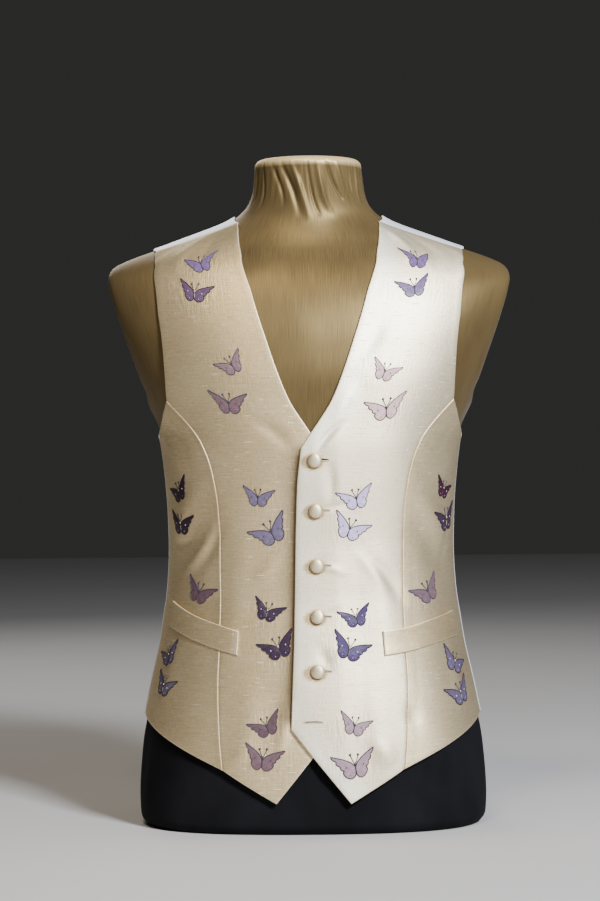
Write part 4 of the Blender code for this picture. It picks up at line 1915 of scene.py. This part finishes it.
@dataclass
class Buttons:
    """Silk-covered domed buttons with their worked buttonholes."""

    drape: Drape
    finishes: Finishes
    wall: float = FRONT_WALL
    radius: float = 0.00775
    height: float = 0.0058
    lift: float = 0.0003
    hole_length: float = 0.0210
    hole_shift: float = 0.0050
    lip: float = 0.00055
    open_gape: float = 2.0
    closed_gape: float = 1.2
    spare_hole: tuple[float, float] = (-89.9, 0.1228)
    places: tuple[ButtonPlace, ...] = table_of(
        ButtonPlace,
        (-88.6, 0.4047, 3, -4),
        (-88.3, 0.3505, 0, -5),
        (-88.0, 0.2902, 9, -3),
        (-88.0, 0.2346, -2, -4),
        (-88.2, 0.1762, 8, -6),
    )
    dimple_spread: float = 0.010
    gathers: int = 17
    gather_depth: float = 0.022
    stitches: int = 36
    stitch_depth: float = 0.10
    foot: float = 0.62
    # share of the radius and climb of each ring, from the foot to the crown
    dome: tuple[tuple[float, float], ...] = (
        (0.90, 0.06),
        (0.985, 0.11),
        (1.00, 0.13),
        (0.985, 0.13),
        (0.94, 0.14),
        (0.86, 0.13),
        (0.72, 0.12),
        (0.52, 0.10),
        (0.28, 0.06),
    )

    def dimples(self) -> tuple[Mark, ...]:
        """Where the buttons draw the front in, and where painted shade falls round them."""
        return tuple(Mark(place.turn, place.height, self.dimple_spread) for place in self.places)

    def pattern(self) -> bpy.types.Mesh:
        """Turns one button, face up, from a circle that is raised ring by ring.

        Returns:
            The button's mesh.
        """
        deselect()
        bpy.ops.mesh.primitive_circle_add(vertices=48, radius=self.radius * self.foot, fill_type="NGON")
        piece = current("button_pattern")
        with edit_mode():
            bpy.ops.mesh.flip_normals()
            before = self.foot
            for after, climb in self.dome:
                bpy.ops.mesh.extrude_region_move(
                    TRANSFORM_OT_translate={"value": (0, 0, climb * self.height)}
                )
                scale = after / before
                bpy.ops.transform.resize(value=(scale, scale, 1), center_override=(0, 0, 0))
                before = after
            bpy.ops.mesh.select_all(action="SELECT")
            bpy.ops.mesh.normals_make_consistent(inside=False)
        points = read_points(piece)
        angle = np.arctan2(points[:, 1], points[:, 0])
        under = smoothstep(points[:, 2], 0.45 * self.height, 0.15 * self.height)
        wave = 0.5 + 0.5 * np.sin(self.gathers * angle + 0.6 * np.sin(3 * angle))
        points[:, :2] *= (1 - self.gather_depth * under * wave)[:, None]
        write_points(piece, points)
        write_uv(piece, points[:, :2])
        # Painted highlight on the crown and painted shade at the foot, through the edge mask
        crown = smoothstep(points[:, 2] / self.height, 0.50, 0.92)
        foot = smoothstep(-points[:, 2] / self.height, -0.50, -0.20)
        write_mask(piece, "edge", 0.55 * crown - 0.5 * foot)
        smooth(piece)
        return take_mesh(piece)

    def seat(self, place: ButtonPlace) -> tuple[Array, Array]:
        """Middle of a button's underside and its three directions: right, up and out.

        Args:
            place: The button's place.

        Returns:
            The middle and the three directions.
        """
        turn = np.array([math.radians(place.turn)])
        height = np.array([place.height])
        lift = self.drape.lap(turn, height) + self.wall + self.lift
        middle = self.drape.point(turn, height, lift)[0]
        out = self.drape.figure.outward(turn, height)[0]
        right = unit(np.cross((0.0, 0.0, 1.0), out))
        up = np.cross(out, right)
        nod = math.radians(place.nod)
        sway = math.radians(place.sway)
        out = unit(out - math.tan(nod) * up + math.tan(sway) * right)
        right = unit(np.cross(up, out))
        return middle, np.stack([right, np.cross(out, right), out])

    def add_hole(self, number: int, turn: float, height: float) -> None:
        """Works one buttonhole: two lips of close stitches round a dark ellipsoid of thread that is
        painted shade in the opening.

        Args:
            number: Number of the hole from the top.
            turn: Its turn in degrees.
            height: Its height.
        """
        half = self.hole_length / 2
        deselect()
        bpy.ops.mesh.primitive_torus_add(
            major_segments=72, minor_segments=8, major_radius=1, minor_radius=self.lip
        )
        lips = current(f"buttonhole_{number}")
        ring = read_points(lips)
        angle = np.arctan2(ring[:, 1], ring[:, 0])
        across = np.hypot(ring[:, 0], ring[:, 1]) - 1
        path_x = np.sign(np.cos(angle)) * np.abs(np.cos(angle)) ** 0.75 * (half - self.lip)
        gape = self.open_gape if number == 1 else self.closed_gape
        path_y = np.sign(np.sin(angle)) * np.abs(np.sin(angle)) ** 0.35 * self.lip * (0.6 + gape)
        steps = 1 + self.stitch_depth * np.sin(angle * self.stitches)
        flat = np.column_stack(
            [
                path_x + across * np.cos(angle) * steps,
                path_y + across * np.sin(angle) * steps,
                ring[:, 2] * steps * 0.9 + self.lip * 0.25,
            ]
        )
        write_uv(lips, np.stack([path_x, across], -1))
        lips.data.materials.append(self.finishes.thread(Thread.CREAM))
        # Painted shade: a dark ellipsoid put in the opening between the lips
        deselect()
        bpy.ops.mesh.primitive_uv_sphere_add(segments=24, ring_count=8, radius=1)
        slit_shade = current(f"slit_{number}")
        ball = read_points(slit_shade)
        thin = ball * (half - 1.6 * self.lip, self.lip * gape, self.lip)
        write_uv(slit_shade, thin[:, :2])
        slit_shade.data.materials.append(self.finishes.thread(Thread.NIGHT))
        shift = 0.0 if number > len(self.places) else self.hole_shift
        spot = Spot(self.drape, turn, height, self.wall, 0.0, True)
        for piece, points in ((lips, flat), (slit_shade, thin)):
            points = points + (shift, 0.0, 0.0)
            points[:, 1] += 0.0006 * (1 - (points[:, 0] - shift) ** 2 / half**2)
            write_points(piece, spot.lay(points))
        join([lips, slit_shade])
        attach(lips, BODY)

    def build(self) -> None:
        """Sews on the buttons and works the holes."""
        pattern = self.pattern()
        for number, place in enumerate(self.places, 1):
            piece = copy_of(pattern, f"button_{number}_silk")
            middle, axes = self.seat(place)
            write_points(piece, middle + read_points(piece) @ axes)
            piece.data.materials.append(self.finishes.silk)
            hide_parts(f"button_{number}")
            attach(piece, BODY)
            self.add_hole(number, place.turn, place.height)
        self.add_hole(len(self.places) + 1, *self.spare_hole)
        log.info("buttons: %d", len(self.places))


@dataclass
class Waistcoat:
    """The garment: six cut panels and two pocket welts."""

    drape: Drape
    finishes: Finishes
    butterflies: Butterflies
    buttons: Buttons
    front_wall: float = FRONT_WALL
    back_wall: float = 0.0016
    welt_wall: float = 0.0022
    welt_lift: float = 0.0004
    welt_mouth: float = 0.0010
    # Painted sheen that lightens the over front, in full on its centre panel and in part on its side
    # panel
    over_front_sheen: float = 0.46
    side_sheen_share: float = 0.4
    centre_flat: tuple[float, float] = (0.204, 0.670)
    centre_area: float = 0.0750
    side_flat: tuple[float, float] = (0.148, 0.406)
    side_area: float = 0.0396
    back_flat: tuple[float, float] = (0.317, 0.648)
    back_area: float = 0.1283
    welt_width: float = 0.028
    welt_mean_width: float = 0.027
    welt_lengths: tuple[float, float] = (0.107, 0.102)

    def fronts(self) -> None:
        """Builds the centre and side panels of both fronts."""
        seam = Cut.rising(PRINCESS_SEAM + FRONT_ARMHOLE[1:])
        edge = Cut.rising(FRONT_EDGE)
        reach = seam[len(PRINCESS_SEAM) - 1].share
        corners_up = [row.share for row in edge if row.corner][:3]
        knots = (*corners_up, reach, 1)
        centre = Cut(edge, seam, shares(knots, (38, 130, 24, 96), 0.66), 58).places(self.drape.figure)
        side_knots = tuple(k / reach for k in knots[:4])
        side_shares = shares(side_knots, (30, 92, 18), 0.42)
        side_cut = Cut(
            Cut.rising(PRINCESS_SEAM), Cut.rising(SIDE_SEAM), side_shares, 54, bow=0.0040, dip=-0.0045
        )
        side = side_cut.places(self.drape.figure)
        free = Rim(Side.FOLDED, Side.FOLDED, 0.5)
        princess = Rim(Side.SUNK, Side.FOLDED, 0.60)
        ridge = Rim(Side.RIDGE, Side.RIDGE, 0.5)
        sunk = Rim(Side.SUNK, Side.SUNK, 0.5)
        left_marks = self.butterflies.marks(True)
        right_marks = self.butterflies.marks(False)
        Panel(
            "front_left_centre", self.drape, centre, self.front_wall,
            (free, princess, Side.FOLDED, Side.SUNK), self.centre_flat, self.centre_area,
            self.finishes.silk,
            lapped=True, painted_sheen=self.over_front_sheen, marks=left_marks, dimples=self.buttons.dimples(),
        ).build()
        Panel(
            "front_left_side", self.drape, side, self.front_wall,
            (ridge, sunk, Side.FOLDED, Side.FOLDED), self.side_flat, self.side_area,
            self.finishes.silk, painted_sheen=self.side_sheen_share * self.over_front_sheen, marks=left_marks,
        ).build()
        Panel(
            "front_right_centre", self.drape, mirror(centre), self.front_wall,
            (princess, free, Side.FOLDED, Side.SUNK), self.centre_flat, self.centre_area,
            self.finishes.silk, marks=right_marks, under=edge,
        ).build()
        Panel(
            "front_right_side", self.drape, mirror(side), self.front_wall,
            (sunk, ridge, Side.FOLDED, Side.FOLDED), self.side_flat, self.side_area,
            self.finishes.silk, marks=right_marks,
        ).build()

    def backs(self) -> None:
        """Builds the two satin halves of the back."""
        rows = shares((0, 0.40, 0.80, 1.0), (96, 88, 110), 0.80)
        rear = Cut(BACK_OUTER, BACK_INNER, rows, 84).places(self.drape.figure)
        outer = Rim(Side.RIDGE, Side.FOLDED, 0.42)
        inner = Rim(Side.RIDGE, Side.FOLDED, 0.80)
        dipped = Rim(Side.SUNK, Side.FOLDED, 0.80)
        halves = (("back_left", rear, (outer, inner)), ("back_right", mirror(rear), (dipped, outer)))
        for node, places, seams in halves:
            Panel(
                node, self.drape, places, self.back_wall, (*seams, Side.FOLDED, Side.SUNK),
                self.back_flat, self.back_area, self.finishes.white, slot="white_satin",
            ).build()

    def welt_places(self, table: tuple[WeltPoint, ...]) -> tuple[Array, Array]:
        """Grid of a welt, close-set along its sides.

        Args:
            table: The welt's stations.

        Returns:
            Turns in radians and heights.
        """
        rows = np.asarray(table, float)
        ends = np.array([0.0, 0.0022, 0.0055, 0.010, 0.016, 0.026])
        u = np.concatenate([ends, np.linspace(0.04, 0.96, 50), 1 - ends[::-1]])
        v = np.concatenate([ends * 4, np.linspace(0.17, 0.83, 9), 1 - 4 * ends[::-1]])[:, None]
        places = np.linspace(0, 1, len(rows))
        turn = np.radians(curve(places, rows[:, 0], u))
        top = curve(places, rows[:, 1], u)
        bottom = curve(places, rows[:, 2], u)
        return turn + 0 * v, bottom + (top - bottom) * v

    def welts(self) -> None:
        """Builds the two pocket welts."""
        folded = Rim(Side.FOLDED, Side.FOLDED, 0.5)
        left = self.welt_places(WELT_LEFT)
        right = mirror(self.welt_places(WELT_RIGHT))
        for side, places, length in zip(("left", "right"), (left, right), self.welt_lengths):
            node = "welt_" + side
            fronts = (f"front_{side}_centre_cloth", f"front_{side}_side_cloth")
            Panel(
                node, self.drape, places, self.welt_wall, (folded, folded, Side.FOLDED, Side.FOLDED),
                (self.welt_width, length), self.welt_mean_width * length, self.finishes.silk,
                rests_on=fronts, base=self.front_wall + self.welt_lift, mouth=self.welt_mouth,
                stitched=True,
            ).build()

    def build(self) -> None:
        """Builds every piece of the garment."""
        self.fronts()
        self.backs()
        self.welts()
        self.buttons.build()
        self.butterflies.build()


@dataclass
class DressForm:
    """Limbless form: gold satin torso with a gathered neck, black cloth hips."""

    figure: Figure
    finishes: Finishes
    split: float = 0.160
    top: float = 0.7385
    gap: float = 0.00015
    neck_rim: float = 0.008
    foot_rim: float = 0.012
    softness: float = 0.0020
    sides: int = 300
    gather: float = 0.00018
    gather_foot: tuple[float, float] = (0.672, 0.715)
    gather_head: tuple[float, float] = (0.7335, 0.726)
    pleat: float = 0.0007
    lid_dip: float = 0.0012
    lid_edge: float = 0.0004
    neck_folds: tuple[Crease, ...] = table_of(
        Crease,
        (-91, 0.730, -82, 0.674, -0.002, 0.0028, -0.0026),
        (-80, 0.728, -72, 0.680, -0.002, 0.0060, 0.0022),
        (-70, 0.731, -56, 0.692, -0.002, 0.0024, -0.0030),
        (-58, 0.729, -50, 0.694, 0.000, 0.0045, 0.0018),
        (-43, 0.730, -41, 0.700, 0.001, 0.0024, -0.0026),
        (-108, 0.728, -90, 0.672, 0.003, 0.0050, 0.0024),
        (-120, 0.729, -97, 0.676, 0.003, 0.0046, -0.0030),
        (-132, 0.729, -113, 0.686, 0.003, 0.0036, -0.0022),
        (-146, 0.730, -139, 0.686, 0.001, 0.0032, -0.0020),
        (-161, 0.731, -160, 0.690, 0.001, 0.0036, 0.0018),
        (-180, 0.731, -177, 0.684, 0.001, 0.0030, -0.0020),
        (-200, 0.730, -204, 0.690, 0.001, 0.0036, 0.0018),
        (-30, 0.730, -31, 0.690, 0.001, 0.0034, 0.0018),
        (-12, 0.731, -16, 0.684, 0.001, 0.0028, -0.0020),
        (7, 0.730, 4, 0.688, 0.001, 0.0036, 0.0017),
        (24, 0.731, 27, 0.686, 0.001, 0.0030, -0.0019),
        (42, 0.730, 47, 0.690, 0.001, 0.0040, 0.0018),
        (60, 0.731, 66, 0.682, 0.001, 0.0028, -0.0022),
        (77, 0.730, 80, 0.690, 0.001, 0.0034, 0.0017),
        (95, 0.731, 96, 0.684, 0.001, 0.0030, -0.0020),
        (113, 0.730, 109, 0.690, 0.001, 0.0038, 0.0018),
        (132, 0.731, 128, 0.686, 0.001, 0.0030, -0.0020),
        (147, 0.730, 143, 0.692, 0.001, 0.0030, 0.0015),
    )
    chest_folds: tuple[Crease, ...] = table_of(
        Crease,
        (-100, 0.640, -118, 0.560, 0.006, 0.010, 0.0007),
        (-82, 0.645, -70, 0.570, 0.005, 0.011, -0.0006),
        (-96, 0.600, -91, 0.480, 0.004, 0.012, 0.0006),
    )
    hip_folds: tuple[Crease, ...] = table_of(
        Crease,
        (-97, 0.108, -100, 0.020, 0.004, 0.0100, 0.0014),
        (-86, 0.100, -92, 0.030, 0.004, 0.0080, -0.0012),
        (-60, 0.060, -40, 0.020, 0.004, 0.0110, 0.0012),
        (-30, 0.100, -44, 0.040, 0.004, 0.0120, -0.0010),
        (-130, 0.070, -146, 0.025, 0.004, 0.0110, 0.0012),
        (-165, 0.110, -170, 0.030, 0.003, 0.0100, -0.0010),
        (20, 0.100, 26, 0.020, 0.004, 0.0120, 0.0012),
        (66, 0.095, 58, 0.025, 0.004, 0.0110, -0.0012),
        (92, 0.100, 96, 0.020, 0.003, 0.0100, 0.0012),
        (124, 0.095, 132, 0.030, 0.004, 0.0110, -0.0011),
        (158, 0.100, 152, 0.025, 0.004, 0.0120, 0.0012),
    )

    def rings(self, heights: Array, insets: Array, folds: tuple[Crease, ...]) -> tuple[Array, Array]:
        """Rings of the form with their folds.

        Args:
            heights: Height of each ring.
            insets: How far each ring is drawn in.
            folds: Soft folds of the cover.

        Returns:
            Places and grain of the rings, row by row.
        """
        around = np.linspace(-math.pi, math.pi, self.sides + 1)[None, :]
        turn = around + 0 * heights[:, None]
        level = heights[:, None] + 0 * turn
        points = self.figure.point(turn, level)
        plate = column(ARM_PLATES, 1, level)
        inside = (level > ARM_PLATES[0].height) & (level < ARM_PLATES[-1].height)
        reach = np.abs(points[..., 0])
        spare = np.sqrt((reach - plate) ** 2 + 4 * self.softness**2)
        cut = np.sign(points[..., 0]) * (reach + plate - spare) / 2
        points[..., 0] = np.where(inside, cut, points[..., 0])
        relief = sum(crease_relief(folds, turn + k * 2 * math.pi, level) for k in (-1, 0, 1))
        gather = np.sin(29 * turn + 2.2 * np.sin(3 * turn))
        gather = gather + 0.6 * np.sin(47 * turn + 1.3 * np.sin(2 * turn))
        band = smoothstep(level, *self.gather_foot) * smoothstep(level, *self.gather_head)
        relief += self.gather * gather * band
        points += self.figure.outward(turn, level) * relief[..., None]
        wide = np.linalg.norm(points[..., :2], axis=-1, keepdims=True)
        points[..., :2] *= (wide - insets[:, None, None]) / wide
        return points, self.figure.weave(turn, level)

    @staticmethod
    def drawn_in(ring: Array, shares: tuple[float, ...]) -> Array:
        """Copies of a ring, each drawn in to a share of its size.

        Args:
            ring: The ring.
            shares: Shares of its size.

        Returns:
            The rings, in the order of the shares.
        """
        middle = ring.mean(axis=0)
        return np.stack([middle + (ring - middle) * share for share in shares])

    def wrap(
        self, node: str, points: Array, places: Array, material: bpy.types.Material
    ) -> None:
        """Models a closed piece of the form from its rings.

        Args:
            node: The node that it stands for.
            points: The rings from the floor up.
            places: Their grain.
            material: The cover's material.
        """
        points[:, -1] = points[:, 0]
        points[0] = points[0].mean(axis=0)
        points[-1] = points[-1].mean(axis=0)
        piece = grid(node + "_cover", points)
        write_uv(piece, places.reshape(-1, 2))
        close(piece)
        smooth(piece)
        piece.data.materials.append(material)
        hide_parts(node)
        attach(piece, BODY)
        log.info("%s: %d points", piece.name, len(piece.data.vertices))

    def torso(self) -> None:
        """Builds the gold torso up to its rolled and gathered top."""
        base = self.split + self.gap
        shoulder = self.top - self.neck_rim
        spans = ((base, 0.40, 30), (0.405, 0.63, 60), (0.632, shoulder, 88))
        heights = np.concatenate([np.linspace(*span) for span in spans])
        bends = np.radians(np.linspace(8, 90, 10))
        rim = shoulder + self.neck_rim * np.sin(bends)
        insets = np.append(0 * heights, self.neck_rim * (1 - np.cos(bends)))
        folds = self.neck_folds + self.chest_folds
        points, places = self.rings(np.append(heights, rim), insets, folds)
        shares_in = (0.93, 0.84, 0.72, 0.58, 0.44, 0.30, 0.16, 0.06, 0.0)
        lid = self.drawn_in(points[-1], shares_in)
        angle = np.linspace(-math.pi, math.pi, self.sides + 1)
        for ring, share in zip(lid, shares_in):
            pleat = self.pleat * np.sin(19 * angle + 1.2 * np.sin(2 * angle)) * share * (1 - share) * 4
            ring[:, 2] = self.top - self.lid_dip * (1 - share) + pleat - self.lid_edge * share
        floor = self.drawn_in(points[0], (0.0, 0.5, 0.97))
        grain = np.concatenate([places[:1].repeat(len(floor), 0), places, lid[..., :2]])
        stack = np.concatenate([floor, points, lid])
        self.wrap("form_torso", stack, grain, self.finishes.gold)

    def hips(self) -> None:
        """Builds the black hips that the form stands on."""
        bends = np.radians(np.linspace(90, 6, 9))
        foot = self.foot_rim - self.foot_rim * np.sin(bends)
        foot_in = self.foot_rim * (1 - np.cos(bends))
        rise = np.linspace(0.0125, self.split - self.gap, 60)
        insets = np.append(foot_in, 0 * rise)
        points, places = self.rings(np.append(foot, rise), insets, self.hip_folds)
        floor = self.drawn_in(points[0], (0.0, 0.5))
        lid = self.drawn_in(points[-1], (0.97, 0.5, 0.0))
        ends = places[:1].repeat(len(floor), 0), places[-1:].repeat(len(lid), 0)
        stack = np.concatenate([floor, points, lid])
        grain = np.concatenate([ends[0], places, ends[1]])
        self.wrap("form_hips", stack, grain, self.finishes.black)

    def build(self) -> None:
        """Builds both pieces of the form."""
        self.torso()
        self.hips()


@dataclass(frozen=True)
class Lamp:
    """A soft area light."""

    name: str
    place: tuple[float, float, float]
    aim: tuple[float, float, float]
    size: float
    power: float
    colour: tuple[float, float, float]

    def hang(self) -> None:
        """Adds the light."""
        data = bpy.data.lights.new(self.name, "AREA")
        data.shape = "SQUARE"
        data.size = self.size
        data.energy = self.power
        data.color = self.colour
        lamp = bpy.data.objects.new(self.name, data)
        bpy.context.scene.collection.objects.link(lamp)
        away = np.array(self.place) - np.array(self.aim)
        level = math.hypot(away[0], away[1])
        lamp.location = self.place
        lamp.rotation_euler = (math.atan2(level, away[2]), 0, math.atan2(away[1], away[0]) + math.pi / 2)


@dataclass
class Studio:
    """Plain floor, soft light and the camera."""

    camera_place: tuple[float, float, float] = (-0.0116, -2.8, 0.414)
    camera_roll: float = 0.5
    lens: float = 99.9
    sensor: float = 36.0
    floor_size: float = 14.0
    world: tuple[float, float, float, float] = (0.80, 0.79, 0.77, 1.0)
    world_strength: float = 0.036
    lamps: tuple[Lamp, ...] = field(
        default_factory=lambda: (
            Lamp("key", (1.40, -2.45, 2.10), (0.0, 0.0, 0.40), 0.6, 240.0, (0.96, 1.0, 1.09)),
            Lamp("high_fill", (-0.35, -1.50, 2.50), (0.0, 0.0, 0.5), 0.5, 30.0, (1.0, 0.84, 0.64)),
            Lamp("side_fill", (-2.2, -1.6, 1.0), (0.0, 0.0, 0.35), 1.6, 0.6, (1.0, 0.92, 0.82)),
            Lamp("back", (-0.9, 2.3, 1.9), (0.0, 0.0, 0.5), 1.4, 24.0, (1.0, 0.98, 0.95)),
        )
    )

    def build(self) -> None:
        """Sets up the floor, lights, world and camera."""
        deselect()
        bpy.ops.mesh.primitive_plane_add(size=self.floor_size)
        floor = current("studio_floor")
        recipe = Recipe("floor_paint")
        cloud = recipe.noise(recipe.solid(), (3, 3, 3), 3)
        recipe.paint(recipe.blend(cloud, (0.44, 0.43, 0.42, 1), (0.48, 0.47, 0.46, 1)))
        recipe.gloss(Roughness=0.85, Specular_IOR_Level=0.2)
        floor.data.materials.append(recipe.material)
        floor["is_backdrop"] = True
        for lamp in self.lamps:
            lamp.hang()
        world = bpy.data.worlds.new("studio")
        world.use_nodes = True
        sky = world.node_tree.nodes["Background"]
        sky.inputs[0].default_value = self.world
        sky.inputs[1].default_value = self.world_strength
        bpy.context.scene.world = world
        data = bpy.data.cameras.new("camera")
        data.lens = self.lens
        data.sensor_width = self.sensor
        camera = bpy.data.objects.new("camera", data)
        bpy.context.scene.collection.objects.link(camera)
        camera.location = self.camera_place
        camera.rotation_euler = (math.pi / 2, math.radians(self.camera_roll), 0)
        bpy.context.scene.camera = camera


def corners() -> list[list[float]]:
    """Lowest and highest corner of everything shown, as plain lists."""
    return [[float(c) for c in corner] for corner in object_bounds()]


def main() -> None:
    """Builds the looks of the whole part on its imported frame."""
    logging.basicConfig(level=logging.INFO, format="%(name)s: %(message)s")
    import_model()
    Studio().build()
    figure = Figure()
    drape = Drape(figure)
    finishes = Finishes()
    DressForm(figure, finishes).build()
    butterflies = Butterflies(drape, finishes)
    buttons = Buttons(drape, finishes)
    Waistcoat(drape, finishes, butterflies, buttons).build()
    log.info("looks are ready")


if __name__ == "__main__":
    main()
